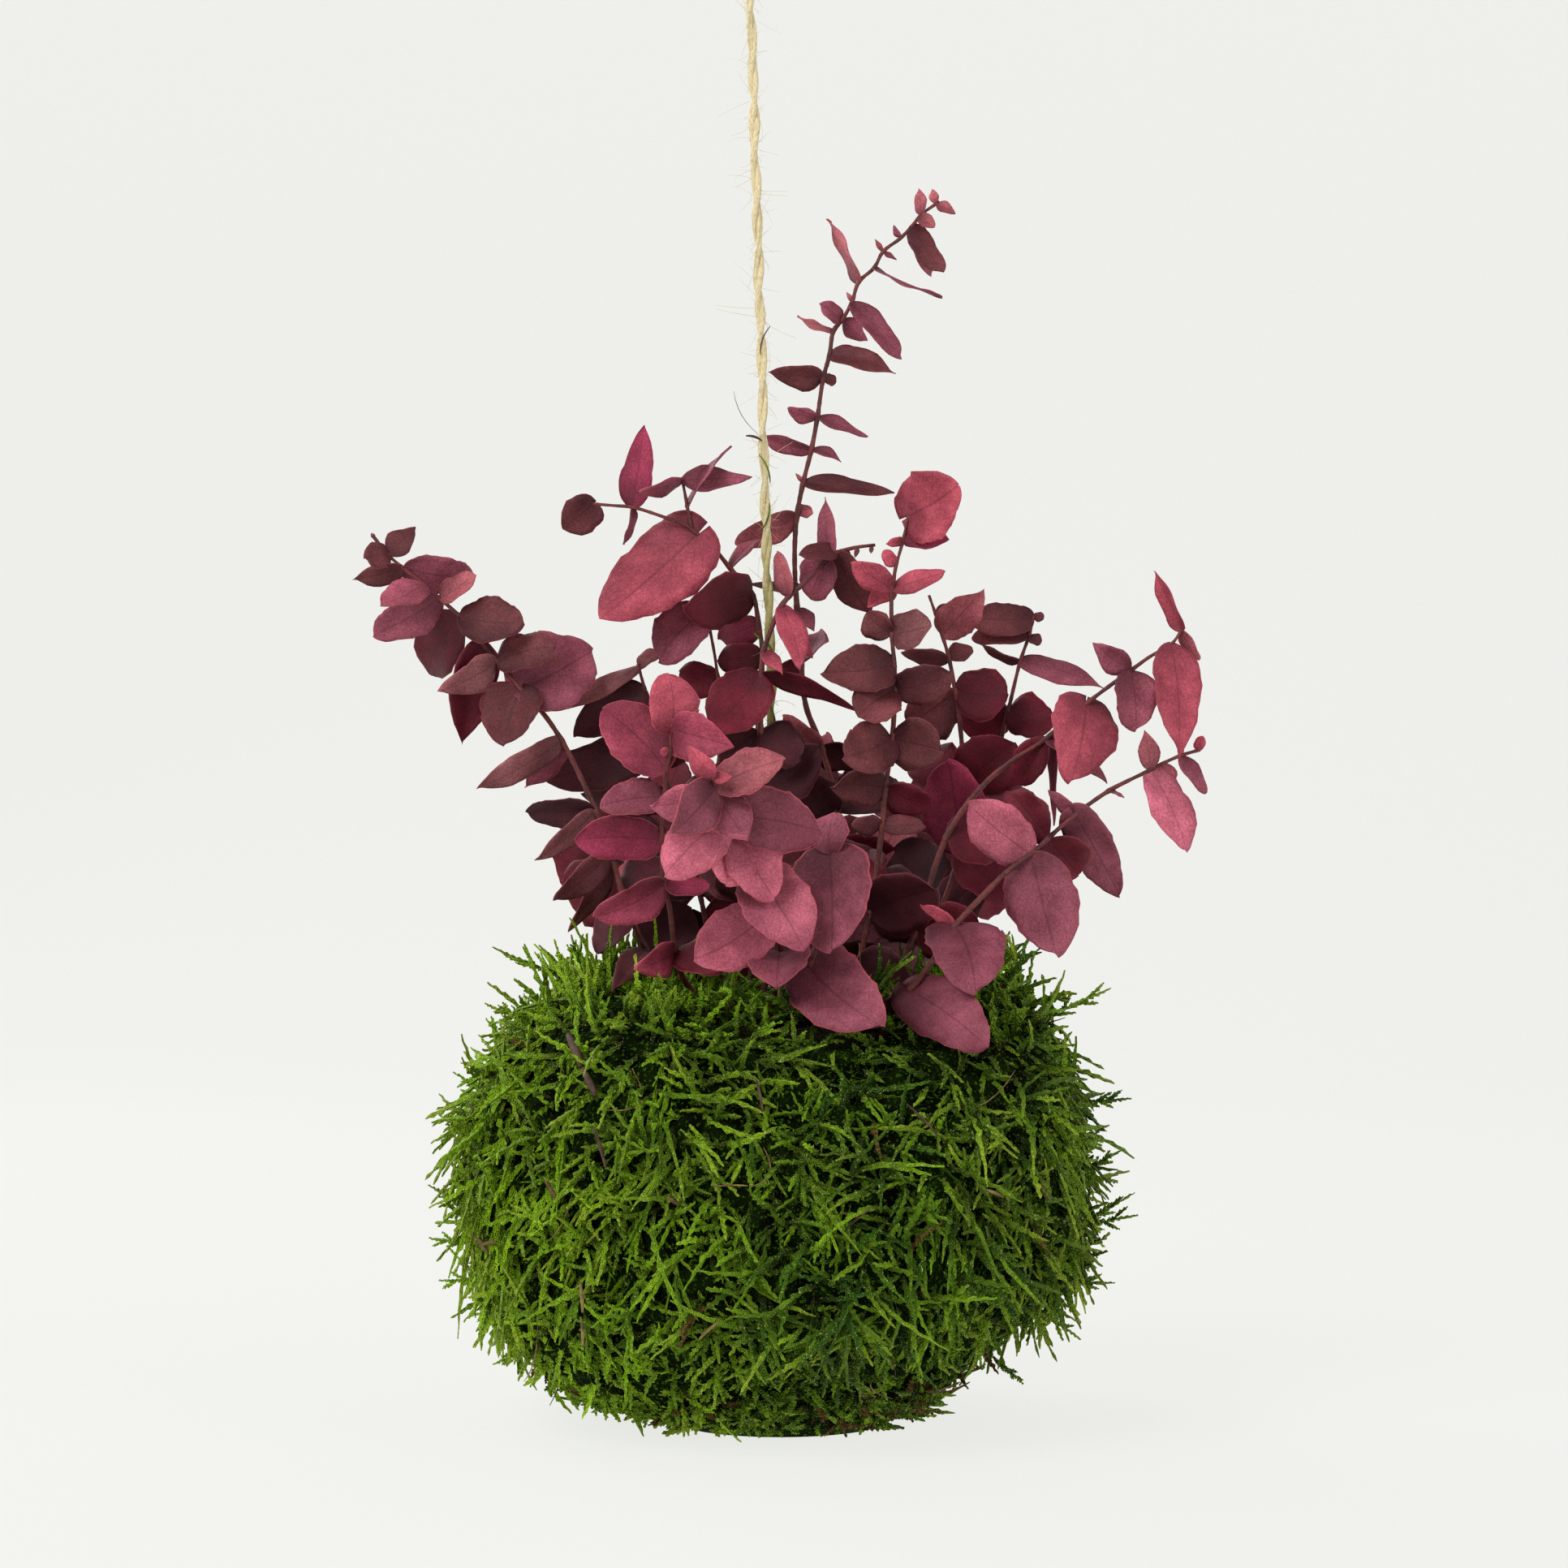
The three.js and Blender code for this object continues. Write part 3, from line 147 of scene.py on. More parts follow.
# Each spray has its foot's x and y, then its shoots. A shoot is a list of nodes, from the foot
# to the tip. A node is its place x, y, z and the leaves that grow from it. A leaf is its tip's
# x and z, how far behind the node its tip lies, its width as seen, its turn in degrees, and
# its form where it isn't BLUNT.
SPRAYS = {
    "spray_tall": [(13, 9), [
        (13.4, 10.5, 116, (25, 110, 8, 13, 20)),
        (14, 12, 130, (3, 122, 10, 14, 25), (22, 141, 12, 14, 25)),
        (14, 13, 150, (28, 158, 14, 12, 30), (2, 157, 12, 12, 30)),
        (10, 12, 166, (0.5, 173.5, -4, 6, 20), (19, 160, 12, 8, 30, OVATE)), (6.2, 11, 176),
        (5, 10, 187, (-2, 182, 8, 5, 30, OVATE), (10, 195, 8, 6, 50, OVATE)),
        (4, 10, 200, (8.3, 194.6, -3, 4.5, 25, OVATE)), (3.4, 9, 213),
        (4, 8, 223, (7.6, 224.6, 2, 3.8, 30), (-11.3, 216, 4, 6.5, 15)),
        (5.5, 8, 231, (28, 228.5, 3, 4.2, 35, OVATE), (3.6, 233.4, 0, 1, 0, OVATE)),
        (7.5, 8, 239, (-4.5, 242.3, 3, 3.6, 35), (14.8, 236.2, -3, 2.6, 35, OVATE)),
        (9, 8, 247, (1.7, 249.2, -2, 3.4, 40), (21.2, 242.3, 3, 3.4, 40, OVATE)),
        (10.5, 9, 257, (-2.8, 258.2, -3, 5.8, 30, OVATE), (13.6, 256, 3, 2.8, 20)),
        (12, 9, 262.5, (28, 258, -3, 5.6, 30, OVATE)),
        (13, 10, 268.5, (4.2, 272, 3, 1.2, 75, OVATE)),
        (15, 10, 271, (9.7, 275, -3, 4.2, 30), (21, 266, 3, 4.8, 30, OVATE)),
        (17.5, 10, 275.5, (29.6, 262, -4, 5.2, 30), (16.2, 278, 1, 1, 0, OVATE)),
        (19.2, 11, 280.5, (11.8, 295.8, 3, 1.8, 75, OVATE)),
        (23, 11, 284, (39.5, 277, -4, 1.6, 76, OVATE)),
        (25.2, 12, 288, (23.2, 291, 0, 1.2, 30, OVATE), (28.5, 286, 0, 1.4, 30, OVATE)),
        (29.5, 12, 291.3, (27.8, 294.5, 0, 1.4, 30, OVATE)),
        (32.5, 13, 294.5, (40, 283, -4, 5.6, 25), (37, 282, 3, 5.4, 25)),
        (34.5, 13, 297, (34, 303.6, 3, 2.8, 30, OVATE), (37.8, 294, -3, 3.5, 0)),
        (38.3, 14, 299.8, (37.4, 303.4, 1, 2.2, 20, OVATE), (43, 297.3, -1, 2.8, 20, OVATE)),
    ]],
    "spray_top_left": [(-8, 4), [
        (-7, 4.5, 115, (-20, 110, 6, 13, 20)), (-6, 5, 130, (-18, 141, 12, 14, 25)),
        (-5.5, 5, 152, (-17, 160, 9, 12, 25)), (-5.5, 5, 175),
        (-4.5, 4.5, 188.5, (-15.5, 187.5, 2, 7.5, 20)),
        (-5.5, 3, 196.5, (-15, 192.5, 6, 7.5, 20)), (-7, 2, 203.5, (-23.3, 201, -4, 12, 25)),
        (-12.5, 0, 210, (-4.5, 217.3, 5, 2.8, 50, OVATE)),
        (-16.8, -2, 215.2, (-17.4, 217.8, 0, 1.2, 0, OVATE)),
        (-20.5, -4, 218.3, (-44.5, 197.5, -5, 18.5, 12, HEART)), (-23.5, -5, 220.6),
        (-28, -5, 222.3),
        (-36.5, -4, 225, (-33.6, 245.2, 1, 7.8, 15, OVATE), (-38.8, 215.8, 3, 1.2, 70, OVATE)),
        (-41, -4, 225.4), (-46, -3, 225.8, (-53.6, 219.5, 0, 12.5, 15, HEART)),
    ], [
        (-22, -4.5, 219.5), (-23, -4, 225, (-12.3, 240, 5, 1.6, 72, OVATE)),
        (-24.2, -3, 231.5, (-34.7, 228.6, -3, 2.6, 60), (-7.4, 232.2, 4, 6.2, 25, OVATE)),
    ]],
    "spray_left": [(-22, 4), [
        (-33, 1, 116, (-41.5, 105.5, -18, 6.5, 20, OVATE), (-22, 126, 8, 12, 30)),
        (-38, -2, 127, (-44.8, 115, -6, 8.5, 25), (-27, 138, 8, 12, 30)),
        (-42, -4, 140, (-55.5, 128.2, -4, 6.8, 20), (-52.3, 121, 4, 4.8, 35, OVATE)),
        (-45.5, -5, 150, (-62.5, 149.8, 5, 7.5, 20), (-60.3, 138.3, -5, 5.8, 30, OVATE)),
        (-50, -5, 160),
        (-54, -5, 167.5, (-74.5, 155.8, -5, 6.4, 25), (-63, 156, 4, 8, 25, OVATE)),
        (-58, -5, 173.5),
        (-64, -5, 180, (-68, 166.5, -6, 15, 15, HEART), (-46.5, 189.5, 5, 18.5, 15, HEART)),
        (-70, -5, 187, (-84.3, 179.6, -8, 7.4, 30, OVATE), (-55.6, 190.5, -4, 8.4, 30)),
        (-74, -5, 192, (-78.5, 166.8, 3, 11, 20, OVATE), (-66.5, 198, 7, 5.5, 30)),
        (-79, -5, 198, (-86.5, 184, 6, 13, 20), (-63.3, 196.6, 4, 10.5, 20)),
        (-84, -5, 202.5, (-100.4, 193.5, 3, 9.5, 20), (-75.2, 208.4, -4, 5.6, 30)),
        (-88, -5, 206, (-98.6, 201, -6, 7.4, 25)),
        (-93, -5, 210, (-105.3, 207.2, 2, 5.2, 30, OVATE), (-76, 208, 4, 9, 25)),
        (-96.5, -5, 213, (-102.3, 212.4, -3, 6.4, 20), (-90, 219.8, 3, 6.2, 20, OVATE)),
        (-100, -4, 217.3, (-101, 218.6, 0, 1, 0, OVATE)),
    ]],
    "spray_front_left": [(-20, -14), [
        (-24.5, -20, 110),
        (-26, -26, 115.5, (-35.6, 111, -14, 7, 20), (-14.5, 110.5, -12, 7.4, 20)),
        (-27.4, -28, 126.6),
        (-28.6, -30, 132, (-46, 124, -6, 8.8, 15), (-17.5, 131.5, 3, 4.8, 35)),
        (-29.4, -32, 143, (-50.8, 143, -4, 10.2, 12), (-20, 140, 6, 8, 20)),
        (-28.7, -34, 153.5, (-44.5, 151.3, 4, 8.4, 20)),
        (-28, -36, 160.5, (-43.9, 175.5, -2, 14, 12)),
        (-27.2, -37, 164.3, (-29.6, 165, -1, 2.4, 0), (-24.2, 165, 1, 2.4, 0)),
        (-26.6, -38, 170.3, (-27.6, 184, 2, 11.4, 12, HEART), (-11.6, 166, -2, 10.8, 12, OVATE)),
        (-24.3, -39, 172, (-20, 175, -2, 2.6, 20, OVATE), (-23, 167.8, -2, 2.4, 20, OVATE)),
    ]],
    "spray_front": [(-2, -22), [
        (0, -31, 115.5, (-1, 106.5, -14, 14, 12)), (-3, -37, 125, (-21.3, 113.6, -12, 14, 12)),
        (-7, -44, 136, (6, 115.8, -9, 15.5, 12)),
        (-11, -51, 144, (-13.5, 131.8, -4, 11.8, 12), (-1.5, 128.4, -1, 11.4, 15)),
        (-13.5, -55, 149, (-28.5, 134.3, -2, 12.4, 15), (10, 145, 1, 14.4, 12)),
        (-15.2, -59, 153.5, (-32, 151.5, 1, 9.4, 20, OVATE), (-8, 142.8, -2, 9.8, 15, OVATE)),
        (-16, -62, 156, (1, 162.8, 1, 9.6, 15), (-27, 144.4, -1, 10.4, 15, OVATE)),
        (-16.6, -64.5, 158, (-22.8, 166.4, -1, 4.8, 20, OVATE), (-12, 158.8, -1, 2.8, 20, OVATE)),
    ], [
        (-1, -26.3, 109), (7, -34, 111.5, (25, 97, -16, 17.5, 12, HEART)), (10, -37, 124),
        (12, -39, 139.5, (12.5, 115.5, -8, 19, 12, HEART), (13.5, 149.8, 4, 8.4, 25)),
    ]],
    "spray_mid_right": [(16, -4), [
        (19, -5.5, 112, (32, 106, -5, 13, 20)),
        (22, -7, 125, (13, 137, 5, 14, 25), (38, 131, 4, 15, 20)),
        (25, -9, 146.5, (17.6, 147, -3, 5, 20), (35.6, 146.5, -3, 4.8, 20)),
        (25.8, -9, 156, (12.5, 156, -6, 10, 20, OVATE), (37, 152, 5, 8, 30)),
        (27.5, -9, 168, (15.6, 163.5, -10, 12.6, 12), (39.6, 165, -8, 13.4, 12)),
        (28.1, -9, 180, (19, 173.5, -9, 10.6, 20), (42, 184.4, -4, 9.4, 20)),
        (28, -9, 186, (10.2, 184.2, -8, 11, 15)),
        (27.4, -9, 193.5, (37.1, 195.8, -6, 9.4, 20), (21.2, 199, 4, 6.4, 25)),
        (27.4, -8, 204.8, (17.4, 211, -4, 6.4, 20), (40.4, 209, -1, 5, 25)),
        (27.8, -8, 207, (21.4, 200.4, 3, 5, 25, OVATE)),
        (28.4, -8, 210.5, (25.4, 214.4, 1, 3.4, 20)),
        (30.2, -8, 217, (25.9, 215.9, 1, 2, 40, OVATE), (41.5, 217, -2, 5.4, 25)),
        (31.4, -8, 222.7, (43.8, 230.4, 0, 15.5, 12, HEART)),
    ]],
    "spray_right_upper": [(26, -6), [
        (33, -8, 120, (26, 136, 4, 13, 25), (49, 122, 4, 14, 25)),
        (41, -9, 144, (54, 143, 5, 13, 25)), (49.8, -9, 156.4), (57, -9.5, 162.5),
        (65.6, -10, 168, (80.3, 157.2, -2, 3.6, 50), (58.5, 156.4, 6, 7.4, 25)),
        (67, -10, 169.3, (67.3, 147, 3, 2, 60, OVATE)),
        (75.3, -10, 176.6, (71.5, 157.4, -4, 15.5, 12, HEART)),
        (86.3, -10, 184.8, (77.2, 191.6, 2, 6.2, 25, OVATE), (87.5, 170, -2, 9.8, 15)),
        (91, -10, 188.2), (96.2, -10, 191.2, (98, 164, -3, 11.4, 12, OVATE)),
        (98.9, -10, 194.8, (92.3, 209, 0, 3.4, 50), (103, 187.4, 1, 2.4, 50)),
    ]],
    "spray_right_lower": [(25, -17), [
        (32, -34, 106, (51, 91.8, -22, 14, 12, HEART)), (37, -33, 112.5),
        (43, -31, 121.8, (48, 105.2, -9, 17.5, 12, HEART), (34.5, 127, 5, 3.4, 30, OVATE)),
        (50, -28, 129.5), (57, -27, 136.3),
        (61.6, -26, 139.5, (46.2, 152, -3, 12.4, 15), (68, 114.6, -4, 16.4, 12)),
        (66, -25, 143.5, (73.4, 134.4, 7, 12.5, 20), (56.5, 155, 8, 9, 30)),
        (72.5, -23, 149.2, (83.5, 129.2, -3, 9.8, 15, HEART), (66, 155.3, 3, 3.2, 30, OVATE)),
        (81, -21, 155.2, (84.6, 153.5, 0, 1, 60, OVATE)), (86, -20, 157.8),
        (91.2, -19, 160.3, (100, 140.2, -3, 9.4, 20), (89.6, 170, 2, 4.8, 20, OVATE)),
        (94, -18.5, 161.8, (95.8, 154.8, 0, 4.6, 20, OVATE)),
        (98.5, -18, 163.8, (104.8, 154.4, -1, 3.8, 30), (98.8, 167.8, 1, 1.2, 50, OVATE)),
        (102.5, -17, 165, (104.1, 168.6, 0, 2.6, 20)),
    ]],
    "spray_cut_stem": [(24, 15), [
        (31, 17, 114), (40, 19, 130, (28, 140, 12, 16, 20), (56, 131, 12, 14, 25)),
        (50, 19, 152, (37, 157, 12, 16, 20), (64, 150, 12, 12, 30)),
        (56, 18, 174.8, (67, 171.2, -3, 12.6, 15), (44, 172, 5, 11, 20)),
        (59, 17, 187, (49.3, 191.3, 3, 1.8, 60, OVATE), (79.5, 180.4, -3, 5.8, 30, OVATE)),
        (61.2, 17, 193.5, (47, 192.6, 4, 5, 30), (64, 191.3, -1, 3, 30)),
        (62.2, 16, 197.5, (46.2, 197.4, -2, 8, 20), (64.8, 198.6, 0, 3.6, 20)),
    ]],
    "spray_right_back": [(31, 5), [
        (38, 7, 122, (22.5, 129, -7, 13, 15), (51.5, 136, -5, 11.4, 15)),
        (44, 8, 140, (41, 162.6, -9, 16, 12), (59, 128, 5, 13, 25)),
        (45, 9, 157, (57.5, 167, -6, 15.5, 12), (33, 162, 6, 13, 25)), (44.5, 9, 168),
        (43, 9, 179.5, (56, 179, -4, 15, 12), (31, 171.5, 3, 12, 25)),
        (41.5, 9, 187.5, (47, 190.5, 4, 4.4, 30), (30, 189.4, 4, 4.4, 30)),
        (39.8, 9, 193.5, (49.8, 204.6, -3, 9.4, 15, OVATE)),
        (38.2, 9, 198.5, (44.8, 201.2, 3, 3.2, 30, OVATE)), (36.8, 9, 202.5),
    ]],
    "spray_middle": [(-4, -9), [
        (-4.5, -9, 114, (9, 111, 3, 13, 20)),
        (-5, -9, 128, (6, 128, 6, 13, 25), (-14, 138, 6, 14, 25)),
        (-5, -9, 152, (9.5, 166, 4, 11, 15), (-18, 150, 5, 13, 25)),
        (-5, -9, 170, (-15, 163, 8, 10, 25), (5, 163, 8, 10, 25)),
        (-4.8, -8.5, 184, (-17.5, 170.5, -3, 13.5, 15), (18.4, 175.2, -3, 4.4, 40, OVATE)),
        (-4.2, -8, 189.5, (0.4, 183.8, -2, 3.6, 25, OVATE)), (-1.7, -7.5, 196.5),
        (0.2, -7, 200.7, (4.9, 185.5, -3, 6.4, 20), (7.4, 188, 3, 3.8, 30)),
        (2, -6.5, 203, (-0.9, 214, 2, 4.2, 25)), (5, -6, 205.6, (-7.8, 206.3, 6, 2.8, 30, OVATE)),
        (8, -5, 208.5), (12, -4, 212.7, (11, 227.2, 2, 4.8, 30, OVATE), (7.3, 202.4, 4, 9.4, 20)),
        (13.8, -4, 213.9, (4.7, 213.2, -2, 4.8, 30), (21.7, 199, 4, 8.4, 25)),
        (16, -3.5, 214.5, (17.9, 201.8, -3, 2.8, 30, OVATE)),
        (19, -3.5, 215.2, (18.3, 212.6, 0, 1.2, 20, OVATE)),
        (22.4, -3.5, 215.6, (22.2, 213.6, 0, 1, 20, OVATE)),
    ]],
    "spray_behind_left": [(-16, 14), [
        (-20, 14, 130, (-35, 140, 10, 14, 25), (-11, 143, 10, 14, 25)),
        (-27, 12, 153, (-49, 154.5, 3, 9.5, 25)),
        (-30.5, 11, 168, (-59.5, 158, -4, 11.5, 20), (-21, 164, 5, 12, 25)),
        (-33.5, 10, 180, (-50.5, 168.5, 4, 10.5, 20)),
        (-35, 9, 185.5, (-55.7, 175.3, -2, 4.2, 40), (-29.4, 189.5, 2, 3.2, 40)),
    ], [
        (-19.8, 14, 128), (-17, 12, 150, (-31, 149, 6, 12, 25)), (-14.5, 9, 172),
        (-15.3, 6, 180.5, (-25, 184.5, 3, 8.4, 20)), (-16.2, 5, 188),
        (-18.4, 3, 199.5, (-30, 187, -3, 11.5, 20)),
    ]],
}

# Sprays at the back: the foot's x and y, then the tip's place
BACK_SPRAYS = {
    "spray_back_left": [(-12, 25), (-30, 62, 150)],
    "spray_back_middle": [(4, 27), (6, 74, 156)],
    "spray_back_right": [(19, 25), (42, 62, 150)],
    "spray_back_outer": [(-28, 15), (-46, 50, 138)],
}
BACK_LEAF_PAIRS = 5
BACK_LEAF_LENGTH = 27
BACK_LEAF_WIDTH_SHARE = 0.74
BACK_FIRST_RISE = 7
BACK_FIRST_SHARE = 0.7
BACK_SPREAD_POWER = 1.3
BACK_ARCH_ANGLE = 1.5
BACK_SWAY = 3

PLACING_ORDER = [
    "spray_front", "spray_front_left", "spray_right_lower", "spray_mid_right",
    "spray_right_upper", "spray_top_left", "spray_left", "spray_tall", "spray_middle",
    "spray_right_back", "spray_cut_stem", "spray_behind_left", *BACK_SPRAYS,
]

# Leaf tints of each spray, in the order of its leaves: r rose, p pale mauve, m mauve,
# g magenta, c crimson, q dusty rose, d deep red, b brown, s grey brown, and k near black,
# which is painted shade for the leaves that lie deep in the sprays
TINTS = {
    "spray_tall": "kkdkkpkdmmppbpmmmmbbbpmmmppmpmmbmpppp",
    "spray_top_left": "kkkdgdmrrgmbmmm",
    "spray_left": "bkkkbbkssmbmsbdbdbmpqbmbbs",
    "spray_front_left": "cdcggmmcrrrcsr",
    "spray_front": "mqqqqqmqmpmrrmmm",
    "spray_mid_right": "kdkbbbdbbbbbsbrrrrrgr",
    "spray_right_upper": "kddmdmrmmrrp",
    "spray_right_lower": "mmrqmddmmmqppmrr",
    "spray_cut_stem": "kdgdddbmbbbb",
    "spray_right_back": "kkgddddbbbpb",
    "spray_middle": "kkkkkkkddrrrpbmmbbmss",
    "spray_behind_left": "kkkkdkssddm",
}
BACK_TINTS = "dmpdbpkdmb"
RIMMED_SPRAYS = ("spray_front", "spray_front_left")

# Moss shoots that stand out past the ball: foot x, z and tip x, z as seen, and the depth y
EDGE_SHOOTS = [
    (-50, 109, -70.4, 113.4, 4), (-58, 98, -72.4, 100.4, -8), (-61, 85, -72.8, 96.4, 6),
    (-60, 82, -73.6, 87, -12), (-66, 79, -80.4, 83.4, 2), (-68, 70, -82, 74.8, -6),
    (-70, 68, -84, 73, 8), (-72, 52, -86.5, 55.6, 0), (-72, 44, -86, 43, 6),
    (-70, 36, -83.4, 32.6, -4), (-60, 20, -70, 12.4, 0), (-64, 30, -76, 24, 8),
    (62, 98, 80, 105.6, 6), (70, 78, 85.6, 79, 0), (72, 60, 83.2, 66, -6),
    (68, 47, 87, 50, 4), (70, 46, 86, 55, 8), (64, 34, 81.6, 33.6, 0), (60, 30, 74, 20, -5),
    (52, 16, 60, 9, -6), (24, 6, 30, 3, -20), (-28, 6, -33, 2, -18),
]

# Scraps caught in the front of the moss, as seen: x, z of both ends, radius and tone
SCRAPS = [
    (-52.4, 95, -49.2, 87.4, 1.2, 0), (-48.9, 86.6, -45.6, 80, 0.9, 0),
    (-46, 72, -43, 62, 0.5, 0), (-49.4, 34, -48.8, 26.6, 0.5, 1), (-49.2, 25.4, -48.7, 18, 0.45, 1),
    (-77.4, 79, -75.8, 76, 0.35, 0), (-76, 46, -72, 41, 0.7, 2), (-74, 43, -70, 44, 0.6, 2),
    (-58, 59, -55, 54, 0.6, 2), (-28, 55, -25, 53, 0.5, 2), (-6, 84, -4.4, 76, 0.4, 0),
    (-16.5, 57.6, -8, 57.8, 0.25, 1), (-20, 20, -15, 24.5, 0.4, 1), (50, 57, 55, 55, 0.45, 1),
    (64, 58, 66.5, 54, 0.4, 1), (31, 78, 39, 70, 0.35, 0), (16, 47, 22, 52, 0.3, 0),
]

# Fibres, bark and moss caught on the twine: x, z of both ends as seen, radius and tone
TWINE_BITS = [
    (-5, 262.6, -2.6, 269.6, 0.2, 0), (-5.6, 243, -11.6, 253.6, 0.1, 1),
    (-8.6, 242.6, -4.6, 241.4, 0.35, 0), (-5.4, 238, -2.6, 231, 0.25, 3),
    (-2.8, 226, -5, 219, 0.25, 3), (-6.6, 194, -3.6, 189, 0.35, 3),
    (-3.6, 192, -2, 186.6, 0.3, 3), (-3.6, 178, -1.6, 168, 0.3, 3),
]


# Placing

TO_EYE = np.array((0.0, -1.0, 0.0))
AWAY = np.array((0.0, 1.0, 0.0))
UP = np.array((0.0, 0.0, 1.0))
SLANT = np.array((0.31, 0.83, 0.46))
BALL_CENTRE = np.array((0.0, 0.0, BALL_CENTRE_HEIGHT))


def draw(n):
    """A steady draw from 0 to 1 for each whole number."""
    s = math.sin(n * 12.9898 + 4.1414) * 43758.5453
    return s - math.floor(s)


def unit(v):
    """The vectors of an array brought to length one."""
    return v / np.linalg.norm(v, axis=-1, keepdims=True)


def from_view(x, y, z):
    """The place of a point seen at x, z from the eye at its depth y."""
    k = 1 + y / EYE_DISTANCE
    return np.array((x * k, y, EYE_HEIGHT + (z - EYE_HEIGHT) * k))


def tree_of(points):
    """A search tree of the points, for the distance to the nearest one."""
    tree = KDTree(len(points))
    for index, point in enumerate(points):
        tree.insert(point, index)
    tree.balance()
    return tree


def steps_along(line):
    """The length of a line up to each of its points."""
    return np.concatenate(([0], np.cumsum(np.linalg.norm(np.diff(line, axis=0), axis=1))))


def curve_point(points, t):
    """A point of the smooth curve through the points."""
    last = len(points) - 1
    i = min(int(math.floor(last * t)), last - 1)
    w = last * t - i
    p1, p2 = points[i], points[i + 1]
    p0 = points[i - 1] if i > 0 else 2 * p1 - p2
    p3 = points[i + 2] if i + 2 <= last else 2 * p2 - p1
    d0, d1, d2 = (float(np.sum((b - a) ** 2)) ** 0.25 for a, b in ((p0, p1), (p1, p2), (p2, p3)))
    d1 = d1 if d1 >= 1e-4 else 1.0
    d0 = d0 if d0 >= 1e-4 else d1
    d2 = d2 if d2 >= 1e-4 else d1
    t1 = ((p1 - p0) / d0 - (p2 - p0) / (d0 + d1) + (p2 - p1) / d1) * d1
    t2 = ((p2 - p1) / d1 - (p3 - p1) / (d1 + d2) + (p3 - p2) / d2) * d1
    bend = -3 * p1 + 3 * p2 - 2 * t1 - t2
    return p1 + t1 * w + bend * w ** 2 + (2 * p1 - 2 * p2 + t1 + t2) * w ** 3


def even_points(points, step):
    """Points at even steps along the smooth curve, and the curve's share at each."""
    shares = np.arange(201) / 200
    lengths = steps_along(np.array([curve_point(points, t) for t in shares]))
    count = math.ceil(lengths[-1] / step)
    at = np.interp(lengths[-1] * np.arange(count + 1) / count, lengths, shares)
    return np.array([curve_point(points, t) for t in at]), at


def shoulder_at(height, angle):
    """The crown's edge stands higher at both sides and dips at the front."""
    high = np.clip((height - BALL_CENTRE_HEIGHT) / SHOULDER_REACH, 0, 1)
    front = np.maximum(0, np.cos(angle - FRONT_DROP_ANGLE)) ** 4
    return high * (SIDE_RISE * np.cos(2 * angle) - FRONT_DROP * front)


def ball_line(row):
    """Radius and height of the ball's plain outer line."""
    line = np.array(BALL_LINE, float)
    rows = np.arange(len(line))
    return np.interp(row, rows, line[:, 0]), np.interp(row, rows, line[:, 1])


def ball_point(row, angle, inset):
    """Points of the ball's plain outer line, drawn in by the inset."""
    radius, height = ball_line(row)
    rise = height - BALL_CENTRE_HEIGHT
    reach = np.hypot(radius, rise)
    scale = (reach - inset) / reach
    shift = -LOW_SHIFT * np.sin(np.pi * np.minimum(1, height / LOW_SHIFT_REACH))
    return np.stack((
        radius * scale * np.cos(angle) + shift,
        radius * scale * np.sin(angle),
        BALL_CENTRE_HEIGHT + rise * scale + shoulder_at(height, angle),
    ), axis=-1)


def lumps(row, angle):
    """How far the moss swells past the plain line."""
    return LUMP_HEIGHT * (0.6 * np.sin(WIDE_LUMPS * angle + row)
                          + 0.4 * np.sin(NARROW_LUMPS * angle - row + 2))


def on_moss(x, z, lift):
    """The place on the front of the ball that is seen at x, z."""
    line = np.array(BALL_LINE[::-1], float)
    p = from_view(x, -60.0, z)
    for _ in range(6):
        radius = np.interp(p[2], line[:, 1], line[:, 0]) + lift
        middle = -LOW_SHIFT * math.sin(math.pi * min(1.0, p[2] / LOW_SHIFT_REACH))
        p = from_view(x, -math.sqrt(max(1.0, radius ** 2 - (p[0] - middle) ** 2)), z)
    return p


def depth_in_moss(p):
    """Depth of a point inside the ball's outer surface, negative outside."""
    flat = math.hypot(p[0], p[1])
    rise = p[2] - BALL_CENTRE_HEIGHT - shoulder_at(p[2], math.atan2(p[1], p[0]))
    for (r0, h0), (r1, h1) in zip(BALL_LINE, BALL_LINE[1:]):
        cross0 = flat * (h0 - BALL_CENTRE_HEIGHT) - rise * r0
        cross1 = flat * (h1 - BALL_CENTRE_HEIGHT) - rise * r1
        if cross0 >= 0 >= cross1:
            share = cross0 / (cross0 - cross1)
            high = h0 + (h1 - h0) * share - BALL_CENTRE_HEIGHT
            return math.hypot(r0 + (r1 - r0) * share, high) - math.hypot(flat, rise)
    if rise < 0:
        return p[2]
    if flat > OPENING_RADIUS:
        return BALL_LINE[0][1] - BALL_CENTRE_HEIGHT - rise
    return CROWN_FLOOR_HEIGHT + 2 - p[2]


